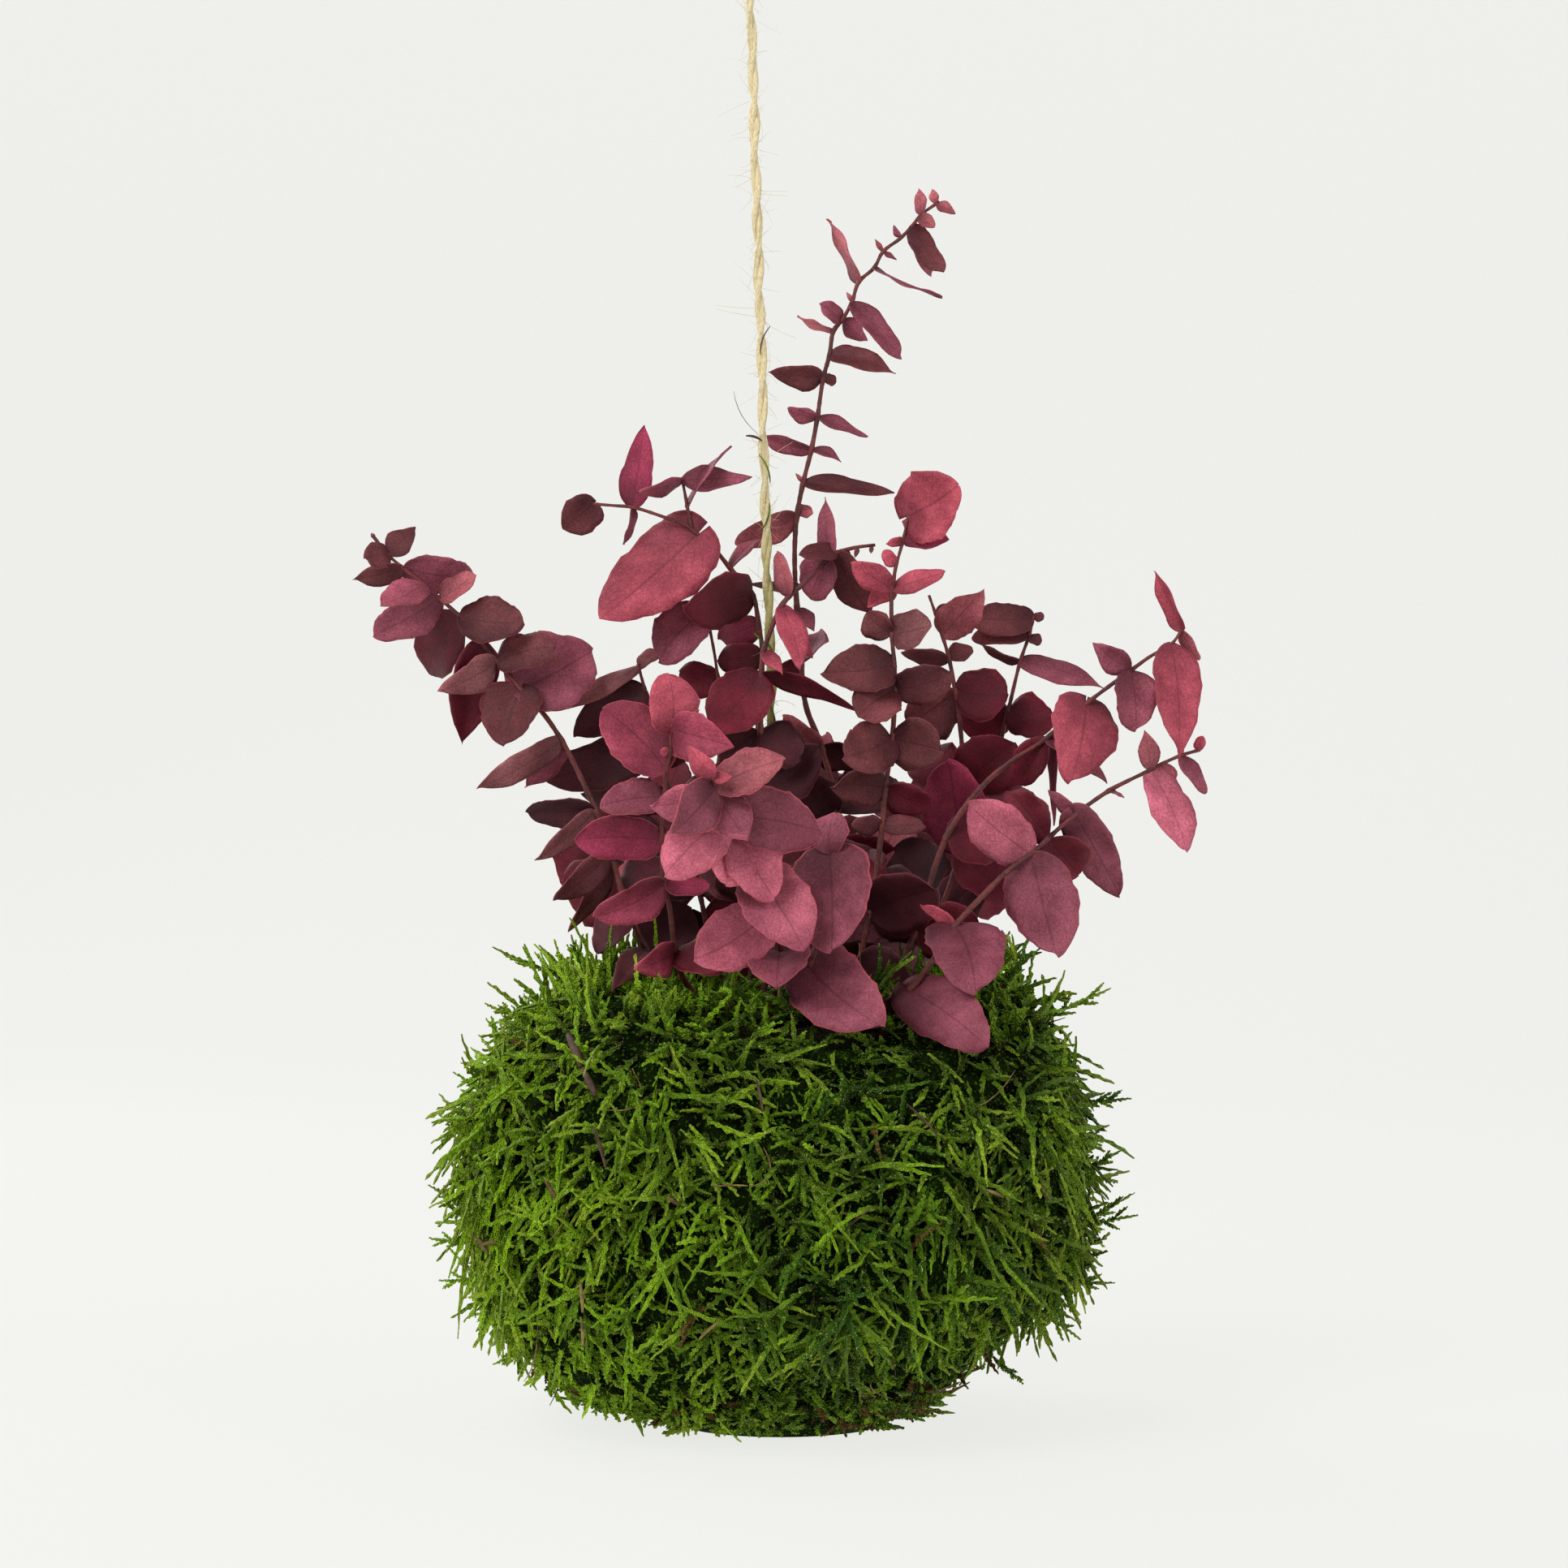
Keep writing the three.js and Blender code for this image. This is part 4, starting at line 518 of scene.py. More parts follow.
class Leaf:
    """A leaf's place: its base, its three directions, its length and its half width."""

    def __init__(self, spray, base, tip, turn, inset, row, number):
        self.base = base + (tip - base) * (inset / np.linalg.norm(tip - base))
        self.length = float(np.linalg.norm(tip - self.base))
        self.axis = (tip - self.base) / self.length
        to_eye = unit(TO_EYE - self.axis * np.dot(TO_EYE, self.axis))
        angle = math.radians(turn)
        self.face = to_eye * math.cos(angle) + np.cross(to_eye, self.axis) * math.sin(angle)
        self.side = np.cross(self.axis, self.face)
        self.spray = spray
        self.form = row[5] if len(row) > 5 else BLUNT
        self.number = number
        half = max(LEAST_HALF_WIDTH, row[3] / math.cos(angle) / 2)
        self.half = min(half, self.length * 0.5)
        self.arch = (draw(number) - 0.35) * ARCH_SPREAD
        self.cup = (draw(number + 500) - 0.3) * CUP_SPREAD
        self.samples = self.sample()
        self.middle = self.point(0.5, 0.0)
        self.reach = self.length * 0.5 + self.half * 0.5 + 1

    def point(self, u, v, lift=0.0):
        """Points of the blade: u from base to tip, v from edge to edge, lifted off its face."""
        u, v, lift = (np.asarray(a)[..., None] for a in (u, v, lift))
        arch = self.arch * self.length * 4 * u * (1 - u)
        cup = self.cup * self.half * v * v
        return (self.base + self.axis * (u * self.length) + self.side * (v * self.half)
                + self.face * (arch + cup + lift))

    def sample(self):
        """Points spread over the blade, for measuring how clear it is."""
        along = math.ceil(self.length / SAMPLE_STEP)
        places = []
        for i in range(1, along + 1):
            u = i / along
            width = math.sqrt(max(0, 1 - (2 * u - 0.9) ** 2 / 1.3))
            across = math.ceil(self.half * width / SAMPLE_STEP)
            places += [(u, width * j / max(1, across)) for j in range(-across, across + 1)]
        places = np.array(places)
        return self.point(places[:, 0], places[:, 1])


def nearest(samples, others):
    """The least distance between two sets of points."""
    if len(samples) == 0:
        return math.inf
    gaps = samples[:, None, :] - others[None, :, :]
    return math.sqrt(float(np.min(np.sum(gaps * gaps, axis=2))))


def far_apart(a, b):
    """Whether two leaves can't touch, by their reach alone."""
    return np.linalg.norm(a.middle - b.middle) > a.reach + b.reach + LEAF_CLEARANCE


def crosses_own(leaf, placed, stems):
    """Whether a leaf meets its own spray past the part near the stem."""
    outer = leaf.samples[np.linalg.norm(leaf.samples - leaf.base, axis=1) > OWN_BASE]
    for other in placed:
        if other.spray == leaf.spray and not far_apart(leaf, other):
            if nearest(outer, other.samples) < OWN_CLEARANCE:
                return True
    return any(name == leaf.spray and nearest(outer, points) < OWN_CLEARANCE
               for name, points in stems)


def is_clear(leaf, placed, stems):
    """Whether a leaf is clear of the moss and of the other sprays."""
    for p in leaf.samples:
        if np.linalg.norm(p - leaf.base) > OWN_BASE and depth_in_moss(p) > -MOSS_CLEARANCE:
            return False
    for other in placed:
        if other.spray != leaf.spray and not far_apart(leaf, other):
            if nearest(leaf.samples, other.samples) < LEAF_CLEARANCE:
                return False
    return not any(name != leaf.spray and nearest(leaf.samples, points) < STEM_CLEARANCE
                   for name, points in stems)


def bend_clear(spray, place, stem_radius, row, placed, stems, number):
    """A leaf bent forward or back, by its tip's depth, until it is clear of the others."""
    tip_x, tip_z, depth, _, turn = row[:5]
    base = from_view(*place)
    fallback = None
    for more in DEPTH_TRIES:
        tip = from_view(tip_x, place[1] + depth + more, tip_z)
        for way in (turn, -turn):
            leaf = Leaf(spray, base, tip, way, BASE_INSET_SHARE * stem_radius, row, number)
            if is_clear(leaf, placed, stems):
                if not crosses_own(leaf, placed, stems):
                    return leaf
                fallback = fallback or leaf
    return fallback


def back_spray(name):
    """A back spray leans out from its foot, each leaf pair turned across the one before."""
    foot, tip = BACK_SPRAYS[name]
    low = STEM_RISE_HEIGHT + BACK_FIRST_RISE
    nodes = []
    for i in range(BACK_LEAF_PAIRS + 1):
        t = (i + BACK_FIRST_SHARE) / (BACK_LEAF_PAIRS + BACK_FIRST_SHARE)
        spread = t ** BACK_SPREAD_POWER
        x = foot[0] + (tip[0] - foot[0]) * spread
        y = foot[1] + (tip[1] - foot[1]) * spread
        z = low + (tip[2] - low) * math.sin(t * BACK_ARCH_ANGLE)
        size = BACK_LEAF_LENGTH * (1 - 0.5 * t)
        width = size * BACK_LEAF_WIDTH_SHARE
        node = [x, y, z]
        for way in (-1, 1):
            sway = BACK_SWAY * (2 * draw(10 * i + way + foot[0]) - 1)
            if i % 2 == 0:
                node.append((x + way * size * 0.9, z + 4 + sway, 6, width, 20))
            elif i > 1 or way > 0:
                node.append((x + way * 5, z + 3 + way * size * 0.75, 9, width, 25))
        nodes.append(node)
    return [foot, nodes]


def whole_shoots(foot, *shoots):
    """A spray's shoots as nodes of a place and its leaves, with the straight foot put first."""
    straight = [(*foot, height) for height in (STEM_FOOT_HEIGHT, STEM_RISE_HEIGHT)]
    return [[(node[:3], node[3:]) for node in (straight if index == 0 else []) + nodes]
            for index, nodes in enumerate(shoots)]


def shoot_points(shoot):
    """The places of a shoot's nodes."""
    return [np.array(place, float) if place[2] < STEM_RISE_HEIGHT + 0.1 else from_view(*place)
            for place, _ in shoot]


def twine_point(height):
    """The twine's middle at a height."""
    return np.array((TWINE_START_X + TWINE_SLOPE * height, 0.0, height))


def place_leaves():
    """All shoots, their stems' points and the leaves, placed as in the solids."""
    shoots = {name: whole_shoots(*rows) for name, rows in SPRAYS.items()}
    shoots.update({name: whole_shoots(*back_spray(name)) for name in BACK_SPRAYS})
    low, high = (twine_point(height) for height in TWINE_KEPT_CLEAR)
    count = math.ceil(np.linalg.norm(high - low) / SAMPLE_STEP)
    stems = [("twine", low + (high - low) * (np.arange(count + 1) / count)[:, None])]
    for name, rows in shoots.items():
        stems += [(name, even_points(shoot_points(shoot), SAMPLE_STEP)[0]) for shoot in rows]
    leaves = []
    number = 0
    for name in PLACING_ORDER:
        tints = TINTS.get(name, BACK_TINTS)
        first = number
        for index, shoot in enumerate(shoots[name]):
            foot = TWIG_FOOT_RADIUS if index else STEM_FOOT_RADIUS
            for step, (place, rows) in enumerate(shoot):
                radius = foot + (STEM_TIP_RADIUS - foot) * step / (len(shoot) - 1)
                for row in rows:
                    number += 1
                    leaf = bend_clear(name, place, radius, row, leaves, stems, number)
                    if leaf:
                        leaf.tint = tints[(number - first - 1) % len(tints)]
                        leaves.append(leaf)
    return shoots, stems, leaves


# Meshes

def mesh_of(bm, name, smooth=None):
    """The mesh of a bmesh, its faces shaded smooth or flat."""
    mesh = bpy.data.meshes.new(name)
    bm.to_mesh(mesh)
    bm.free()
    if smooth is not None:
        mesh.polygons.foreach_set("use_smooth", np.full(len(mesh.polygons), smooth))
    return mesh


def put(name, data):
    """A new object in the scene."""
    made = bpy.data.objects.new(name, data)
    bpy.context.scene.collection.objects.link(made)
    return made


def made_of(geometry, kind):
    """The vertices or edges among what an operator made."""
    return [g for g in geometry if isinstance(g, kind)]


def tube_template(name, sides, spans):
    """A unit tube along z, its rings at even steps."""
    bm = bmesh.new()
    bmesh.ops.create_cone(bm, cap_ends=True, segments=sides, radius1=1, radius2=1, depth=1)
    bmesh.ops.translate(bm, verts=bm.verts, vec=(0, 0, 0.5))
    if spans > 1:
        uprights = [e for e in bm.edges if abs(e.verts[0].co.z - e.verts[1].co.z) > 0.5]
        bmesh.ops.subdivide_edges(bm, edges=uprights, cuts=spans - 1)
    return finish_template(bm, name)


def blade_template(name, across, along):
    """A flat unit blade with a top, an underside and a rim."""
    bm = bmesh.new()
    bmesh.ops.create_grid(bm, x_segments=across, y_segments=along, size=0.5)
    bmesh.ops.solidify(bm, geom=bm.faces[:], thickness=1)
    bmesh.ops.recalc_face_normals(bm, faces=bm.faces)
    return finish_template(bm, name)


def finish_template(bm, name):
    """The template's mesh and its vertices as an array."""
    mesh = mesh_of(bm, name)
    coords = np.empty(len(mesh.vertices) * 3)
    mesh.vertices.foreach_get("co", coords)
    return mesh, coords.reshape(-1, 3)


def lay_tubes(coords, centres, radii, across, twist=0.0):
    """Places of the template's vertices along each row of centres."""
    along = unit(np.gradient(centres, axis=1))
    side = unit(across - along * np.sum(across * along, axis=-1, keepdims=True))
    up = np.cross(along, side)
    ring = np.rint(coords[:, 2] * (centres.shape[1] - 1)).astype(int)
    angle = np.arctan2(coords[:, 1], coords[:, 0]) + twist * ring
    size = radii[:, ring][..., None]
    return (centres[:, ring] + size * np.cos(angle)[None, :, None] * side[:, ring]
            + size * np.sin(angle)[None, :, None] * up[:, ring])


def build_piece(name, parts, materials, smooth=True):
    """One object of many copies of templates: mesh, places, tints, map, material index."""
    bm = bmesh.new()
    places, tints, maps = [], [], []
    for template, coords, tint, uv, material in parts:
        for polygon in template.polygons:
            polygon.material_index = material
        for _ in range(len(coords)):
            bm.from_mesh(template)
        places.append(coords.reshape(-1, 3))
        tints.append(np.broadcast_to(tint, coords.shape[:2] + (4,)).reshape(-1, 4))
        maps.append(np.broadcast_to(uv, coords.shape[:2] + (2,)).reshape(-1, 2))
    mesh = mesh_of(bm, name, smooth)
    mesh.vertices.foreach_set("co", (np.concatenate(places) * MM).ravel())
    layer = mesh.attributes.new("tint", "FLOAT_COLOR", "POINT")
    layer.data.foreach_set("color", np.concatenate(tints).ravel())
    corner = np.empty(len(mesh.loops), np.int32)
    mesh.loops.foreach_get("vertex_index", corner)
    uv_map = mesh.uv_layers.new(name="surface")
    uv_map.data.foreach_set("uv", np.concatenate(maps)[corner].ravel())
    for material in materials:
        mesh.materials.append(material)
    mesh.update()
    piece = put(name, mesh)
    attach(piece, "root")
    return piece


# Materials

def colour(red, green, blue):
    """A screen colour from 0 to 255 as the light values that a shader reads."""
    return tuple((c / 255 / 12.92) if c < 10 else ((c / 255 + 0.055) / 1.055) ** 2.4
                 for c in (red, green, blue)) + (1.0,)


def solid(tone):
    """A colour setting with its fourth value."""
    return tuple(tone) + (1,)


class Board:
    """A node tree with short calls for adding and joining nodes."""

    def __init__(self, tree):
        self.tree = tree

    def add(self, kind, values=None, **settings):
        """A new node's outputs; each value is set on its socket or linked to it."""
        made = self.tree.nodes.new(kind)
        for key, value in settings.items():
            setattr(made, key, value)
        for key, value in (values or {}).items():
            if isinstance(value, bpy.types.NodeSocket):
                self.tree.links.new(value, made.inputs[key])
            else:
                made.inputs[key].default_value = value
        return made.outputs

    def mix(self, factor, first, second, blend="MIX"):
        """One colour mixed into another."""
        values = {0: factor, 6: first, 7: second}
        return self.add("ShaderNodeMix", values, data_type="RGBA", blend_type=blend)[2]

    def math(self, kind, *values):
        """One step of arithmetic."""
        return self.add("ShaderNodeMath", dict(enumerate(values)), operation=kind)[0]

    def times(self, first, second):
        """Two values multiplied."""
        return self.math("MULTIPLY", first, second)

    def range(self, value, low, high, to_low=0.0, to_high=1.0):
        """A value brought smoothly from one range to another."""
        values = {"Value": value, "From Min": low, "From Max": high,
                  "To Min": to_low, "To Max": to_high}
        return self.add("ShaderNodeMapRange", values, interpolation_type="SMOOTHSTEP")[0]


def grain_group():
    """Shared fine grain: a coarse and a fine noise as masks, and a height for bumps."""
    name = "Fine grain"
    if name in bpy.data.node_groups:
        return bpy.data.node_groups[name]
    group = bpy.data.node_groups.new(name, "ShaderNodeTree")
    group.interface.new_socket("Vector", in_out="INPUT", socket_type="NodeSocketVector")
    for label, value in (("Coarse scale", 60.0), ("Fine scale", 900.0), ("Detail", 3.0)):
        socket = group.interface.new_socket(label, in_out="INPUT", socket_type="NodeSocketFloat")
        socket.default_value = value
    for label in ("Coarse", "Fine", "Height"):
        group.interface.new_socket(label, in_out="OUTPUT", socket_type="NodeSocketFloat")
    board = Board(group)
    source = board.add("NodeGroupInput")
    coarse, fine = (board.add("ShaderNodeTexNoise", {
        "Vector": source["Vector"], "Scale": source[label], "Detail": source["Detail"],
        "Roughness": 0.6})["Fac"] for label in ("Coarse scale", "Fine scale"))
    height = board.math("MULTIPLY_ADD", fine, 0.6, board.times(coarse, 0.4))
    board.add("NodeGroupOutput", {"Coarse": coarse, "Fine": fine, "Height": height})
    return group


class Finish(Board):
    """A material in the making, with its shader, the piece's own place and the shared grain."""

    def __init__(self, name, coarse, fine, detail=3.0):
        self.material = bpy.data.materials.new(name)
        self.material.use_nodes = True
        super().__init__(self.material.node_tree)
        self.place = self.add("ShaderNodeTexCoord")["Object"]
        scales = {"Vector": self.place, "Coarse scale": coarse, "Fine scale": fine,
                  "Detail": detail}
        grain = self.add("ShaderNodeGroup", scales, node_tree=grain_group())
        self.coarse, self.fine, self.height = (grain[k] for k in ("Coarse", "Fine", "Height"))

    def tint(self):
        """The piece's own tint and its fourth value."""
        outputs = self.add("ShaderNodeAttribute", attribute_name="tint")
        return outputs["Color"], outputs["Alpha"]

    def map(self):
        """The piece's own map."""
        return self.add("ShaderNodeUVMap", uv_map="surface")["UV"]

    def mask(self, value, low, high, share):
        """Where a value passes a range, as strong as the share."""
        return self.times(self.range(value, low, high), share)

    def close(self, base, height, rough, bump, depth, gloss=0.5):
        """Joins colour and bump to the shader, and gives the material."""
        shader = next(n for n in self.tree.nodes if n.type == "BSDF_PRINCIPLED").inputs
        shader["Roughness"].default_value = rough
        shader["Specular IOR Level"].default_value = gloss
        values = {"Strength": bump, "Distance": depth, "Height": height}
        self.tree.links.new(base, shader["Base Color"])
        self.tree.links.new(self.add("ShaderNodeBump", values)["Normal"], shader["Normal"])
        return self.material


def leaf_material():
    """Matt waxy leaf: its tint with its painted shade, more painted shade towards the base, paler
    edge, faint veins and fine speckle.
    """
    leaf = Finish("red_leaf", coarse=110, fine=2000, detail=4.0)
    tint, rimmed = leaf.tint()
    along, side, _ = leaf.add("ShaderNodeSeparateXYZ", {0: leaf.map()})
    across = leaf.math("ABSOLUTE", leaf.math("MULTIPLY_ADD", side, 2.0, -1.0))
    rib = leaf.range(across, 0.0, 0.07, 1.0, 0.0)
    slant = leaf.math("MULTIPLY_ADD", across, -0.55, along)
    slant = leaf.math("MULTIPLY_ADD", leaf.coarse, 0.12, slant)
    waves = leaf.math("ABSOLUTE", leaf.math("SINE", leaf.times(slant, 22.0)))
    veins = leaf.range(waves, 0.0, 0.2, 1.0, 0.0)
    cells = leaf.add("ShaderNodeTexVoronoi", {"Vector": leaf.place, "Scale": 900.0},
                     feature="DISTANCE_TO_EDGE")["Distance"]
    net = leaf.range(cells, 0.0, 0.09, 1.0, 0.0)
    lines = leaf.math("MAXIMUM", rib, leaf.times(veins, 0.7))
    lines = leaf.math("MAXIMUM", lines, leaf.times(net, 0.5))
    clouds = leaf.mix(leaf.range(leaf.coarse, 0.35, 0.68),
                      (0.72, 0.64, 0.66, 1), (1.2, 1.2, 1.18, 1))
    base = leaf.mix(1.0, tint, clouds, "MULTIPLY")
    # Painted shade: the blade is made darker towards its base
    base = leaf.mix(leaf.range(along, 0.0, 0.4, 0.3, 0.0), base, colour(50, 12, 22))
    base = leaf.mix(leaf.times(lines, 0.42), base, colour(58, 16, 26))
    edge = leaf.times(leaf.range(across, 0.92, 0.99), leaf.times(rimmed, 0.6))
    base = leaf.mix(edge, base, colour(206, 92, 104))
    speckle = leaf.mix(leaf.range(leaf.fine, 0.34, 0.66),
                       (0.66, 0.62, 0.62, 1), (1.4, 1.46, 1.42, 1))
    base = leaf.mix(0.5, base, speckle, "MULTIPLY")
    height = leaf.math("MULTIPLY_ADD", lines, -0.5, leaf.height)
    return leaf.close(base, height, rough=0.58, bump=0.4, depth=0.0003, gloss=0.22)


def stem_material():
    """Warty brown-red bark with pale flecks."""
    bark = Finish("brown_stem", coarse=160, fine=1500)
    base = bark.mix(bark.range(bark.coarse, 0.35, 0.65), colour(70, 24, 24), colour(114, 45, 44))
    base = bark.mix(bark.mask(bark.fine, 0.6, 0.7, 0.4), base, colour(150, 92, 84))
    return bark.close(base, bark.height, rough=0.6, bump=0.9, depth=0.0006)


def moss_material(settings):
    """Moss shoots: deep green at the foot, partly older growth and partly painted shade, mid green,
    yellow-green at the tips, few dead ones; with painted light on the left side and in patches,
    painted shade between the leaflets and painted glints.
    """
    moss = Finish("green_moss", coarse=45, fine=1900, detail=4.0)
    deep, mid, tip = map(solid, (settings.deep_green, settings.mid_green, settings.tip_green))
    tint, painted_light = moss.tint()
    along, fresh, dead = moss.add("ShaderNodeSeparateColor", {0: tint})
    # Deep green towards each shoot's foot: partly older growth, partly painted shade deep in the
    # moss
    base = moss.mix(moss.range(along, 0.0, 0.7), deep, mid)
    # Painted light: the tint's fourth value lightens the left side and some patches and shoots, and
    # shades the rest
    base = moss.mix(1.0, base, moss.mix(painted_light, (0.44, 0.5, 0.7, 1), (4.1, 2.85, 1.8, 1)),
                    "MULTIPLY")
    light = moss.times(moss.range(along, 0.4, 1.0), moss.range(fresh, 0.2, 1.0))
    # Yellow-green tips of new growth, spread further where the painted light is strong
    light = moss.times(light, moss.range(painted_light, 0.0, 0.4, 0.35, 1.0))
    base = moss.mix(light, base, tip)
    base = moss.mix(moss.mask(moss.coarse, 0.45, 0.7, 0.5), base, deep)
    dots = moss.add("ShaderNodeTexVoronoi", {"Vector": moss.place, "Scale": 1700.0})["Distance"]
    leaflet = moss.range(dots, 0.12, 0.62, 1.0, 0.0)
    # Painted shade between the tiny leaflets, away from their centres
    base = moss.mix(moss.math("MULTIPLY_ADD", leaflet, -0.5, 0.5), base, colour(14, 26, 3))
    # Painted glints: small pale dots on the leaflets, more where the painted light is strong
    painted_glint = moss.times(moss.range(dots, 0.08, 0.24, 0.8, 0.0),
                       moss.range(painted_light, 0.0, 0.5, 0.4, 1.0))
    base = moss.mix(painted_glint, base, colour(206, 224, 130))
    # More painted glints: fine pale specks
    base = moss.mix(moss.mask(moss.fine, 0.6, 0.68, 0.75), base, colour(216, 230, 140))
    base = moss.mix(moss.range(dead, 0.4, 0.6), base, colour(104, 84, 40))
    return moss.close(base, leaflet, rough=0.6, bump=1.0, depth=0.0008, gloss=0.15)


def bed_material(settings):
    """Matted moss under the shoots, near black as painted shade in the hollows between them, with
    specks of mid green.
    """
    bed = Finish("moss_bed", coarse=120, fine=1100)
    # Painted shade: the bed is near black where it shows between the shoots
    base = bed.mix(bed.range(bed.coarse, 0.38, 0.62), colour(8, 10, 4), colour(22, 34, 8))
    base = bed.mix(bed.mask(bed.fine, 0.54, 0.68, 0.4), base, solid(settings.mid_green))
    return bed.close(base, bed.height, rough=0.95, bump=1.0, depth=0.003, gloss=0.03)


def scrap_material():
    """Dry bark and straw in the piece's own tint, with streaks."""
    scrap = Finish("dry_scrap", coarse=300, fine=1600)
    streak = scrap.mix(scrap.range(scrap.coarse, 0.35, 0.65),
                       (0.5, 0.46, 0.42, 1), (1.3, 1.25, 1.2, 1))
    base = scrap.mix(1.0, scrap.tint()[0], streak, "MULTIPLY")
    return scrap.close(base, scrap.height, rough=0.8, bump=1.0, depth=0.0006)


def soil_material():
    """Dark crumbly soil."""
    soil = Finish("dark_soil", coarse=220, fine=1400, detail=5.0)
    base = soil.mix(soil.range(soil.coarse, 0.35, 0.65), colour(26, 18, 13), colour(64, 46, 32))
    base = soil.mix(soil.mask(soil.fine, 0.62, 0.72, 0.5), base, colour(122, 100, 74))
    return soil.close(base, soil.height, rough=0.95, bump=1.0, depth=0.002)


def jute_material(settings):
    """Straw jute with long fibres, stained green where it nears the moss."""
    jute = Finish("straw_jute", coarse=240, fine=2400)
    spread = jute.add("ShaderNodeMapping", {"Vector": jute.map(), "Scale": (9.0, 26.0, 1.0)})[0]
    fibre = jute.add("ShaderNodeTexNoise", {"Vector": spread, "Scale": 1.0, "Detail": 4.0,
                                            "Roughness": 0.65})["Fac"]
    high = jute.add("ShaderNodeSeparateXYZ", {0: jute.place})["Z"]
    base = jute.mix(jute.range(fibre, 0.35, 0.62), colour(210, 184, 132), solid(settings.straw))
    base = jute.mix(jute.range(fibre, 0.6, 0.78), base, colour(254, 248, 222))
    stain = jute.times(jute.range(high, 0.19, 0.245, 1.0, 0.0),
                       jute.range(jute.coarse, 0.3, 0.6, 0.45, 1.0))
    base = jute.mix(jute.times(stain, 0.75), base, colour(150, 148, 48))
    base = jute.mix(jute.mask(jute.coarse, 0.66, 0.74, 0.5), base, colour(112, 84, 44))
    height = jute.math("MULTIPLY_ADD", fibre, 0.9, jute.times(jute.fine, 0.2))
    return jute.close(base, height, rough=0.9, bump=0.8, depth=0.0004)


def stage_material(settings):
    """Plain pale floor and sweep."""
    material = bpy.data.materials.new("pale_floor")
    material.use_nodes = True
    shader = next(n for n in material.node_tree.nodes if n.type == "BSDF_PRINCIPLED").inputs
    for socket, value in (("Base Color", (0.1, 0.1, 0.1, 1)), ("Roughness", 0.9),
                          ("Specular IOR Level", 0.0),
                          ("Emission Color", solid(settings.floor_colour)),
                          ("Emission Strength", settings.floor_glow)):
        shader[socket].default_value = value
    return material


# Sizes and colours that a user would change

def length_setting(name, description, default):
    """A length that a user would change."""
    return bpy.props.FloatProperty(name=name, description=description, default=default,
                                   unit="LENGTH")


def tone_setting(name, description, *screen_colour):
    """A colour that a user would change."""
    return bpy.props.FloatVectorProperty(name=name, description=description, subtype="COLOR",
                                         default=colour(*screen_colour)[:3])


class TwineSettings(bpy.types.PropertyGroup):
    diameter: length_setting("Diameter", "Across the whole twine", 0.0024)
    plies: bpy.props.IntProperty(
        name="Plies", description="Strands laid round each other", default=2, min=2, max=4)
    lay: length_setting("Lay", "Length of one full turn of a strand", 0.023)
    fibres: bpy.props.IntProperty(
        name="Fibres", description="Loose fibres along the twine", default=420)
    straw: tone_setting("Straw", "Colour of the clean jute", 250, 238, 198)


class LeafSettings(bpy.types.PropertyGroup):
    thickness: length_setting("Thickness", "Thickness of a blade", 0.00045)
    wave: length_setting("Wave", "Height of the wave along a blade's edge", 0.0007)
    rose: tone_setting("Rose", "Fresh bright leaves", 184, 80, 97)
    pale: tone_setting("Pale mauve", "Leaves that catch the light", 176, 94, 103)
    mauve: tone_setting("Mauve", "Most of the leaves", 142, 72, 88)
    magenta: tone_setting("Magenta", "Leaves with a violet cast", 148, 50, 78)
    crimson: tone_setting("Crimson", "Leaves at the left front", 164, 68, 90)
    dusty: tone_setting("Dusty rose", "Leaves of the front rosette", 190, 98, 118)
    deep: tone_setting("Deep red", "Inner leaves", 104, 26, 42)
    brown: tone_setting("Brown", "Older leaves", 108, 54, 58)
    # Near black is painted shade, given to the leaves that lie deep in the sprays
    dark: tone_setting("Near black", "Oldest leaves", 72, 28, 36)
    grey: tone_setting("Grey brown", "Faded leaves", 134, 80, 84)


class MossSettings(bpy.types.PropertyGroup):
    shoots: bpy.props.IntProperty(
        name="Shoots", description="Shoots over the ball's outer surface", default=5600)
    length: length_setting("Shoot length", "Length of a usual shoot", 0.0125)
    deep_green: tone_setting("Deep green", "Feet of the shoots", 34, 40, 8)
    mid_green: tone_setting("Mid green", "Most of a shoot", 105, 163, 20)
    tip_green: tone_setting("Tip green", "Tips of the shoots", 200, 226, 60)


class StageSettings(bpy.types.PropertyGroup):
    floor_colour: bpy.props.FloatVectorProperty(
        name="Floor", description="Colour of the floor and sweep", subtype="COLOR",
        default=(0.872, 0.88, 0.84))
    floor_glow: bpy.props.FloatProperty(
        name="Floor glow", description="Even light of the backdrop", default=0.9)
    key_power: bpy.props.FloatProperty(
        name="Key light", description="Power of the large soft light", default=22.0,
        unit="POWER")
    fill_power: bpy.props.FloatProperty(
        name="Fill light", description="Power of each of the two smaller lights", default=6.0,
        unit="POWER")
    room: bpy.props.FloatProperty(
        name="Room light", description="Strength of the even room light", default=0.32)


# Pieces

def ply_tubes(path, radius, plies, lay):
    """Strands laid round a path, in millimetres: centres and radii, and the path's steps."""
    steps = steps_along(path)
    along = unit(np.gradient(path, axis=0))
    side = unit(AWAY - along * along[:, 1:2])
    up = np.cross(along, side)
    centres, radii = [], []
    for k in range(plies):
        turn = 2 * np.pi * (steps / lay + k / plies)
        turn = turn + 0.5 * np.sin(steps / 11.0 + 2 * k)
        out = radius * (0.50 + 0.08 * np.sin(steps / 5.3 + 2.1 * k))
        centres.append(path + out[:, None] * (np.cos(turn)[:, None] * side
                                              + np.sin(turn)[:, None] * up))
        slub = 1 + 0.12 * np.sin(steps / 3.1 + 1.7 * k) + 0.08 * np.sin(steps / 1.3 + k)
        radii.append(radius * 0.63 * slub)
    return np.array(centres), np.array(radii), steps


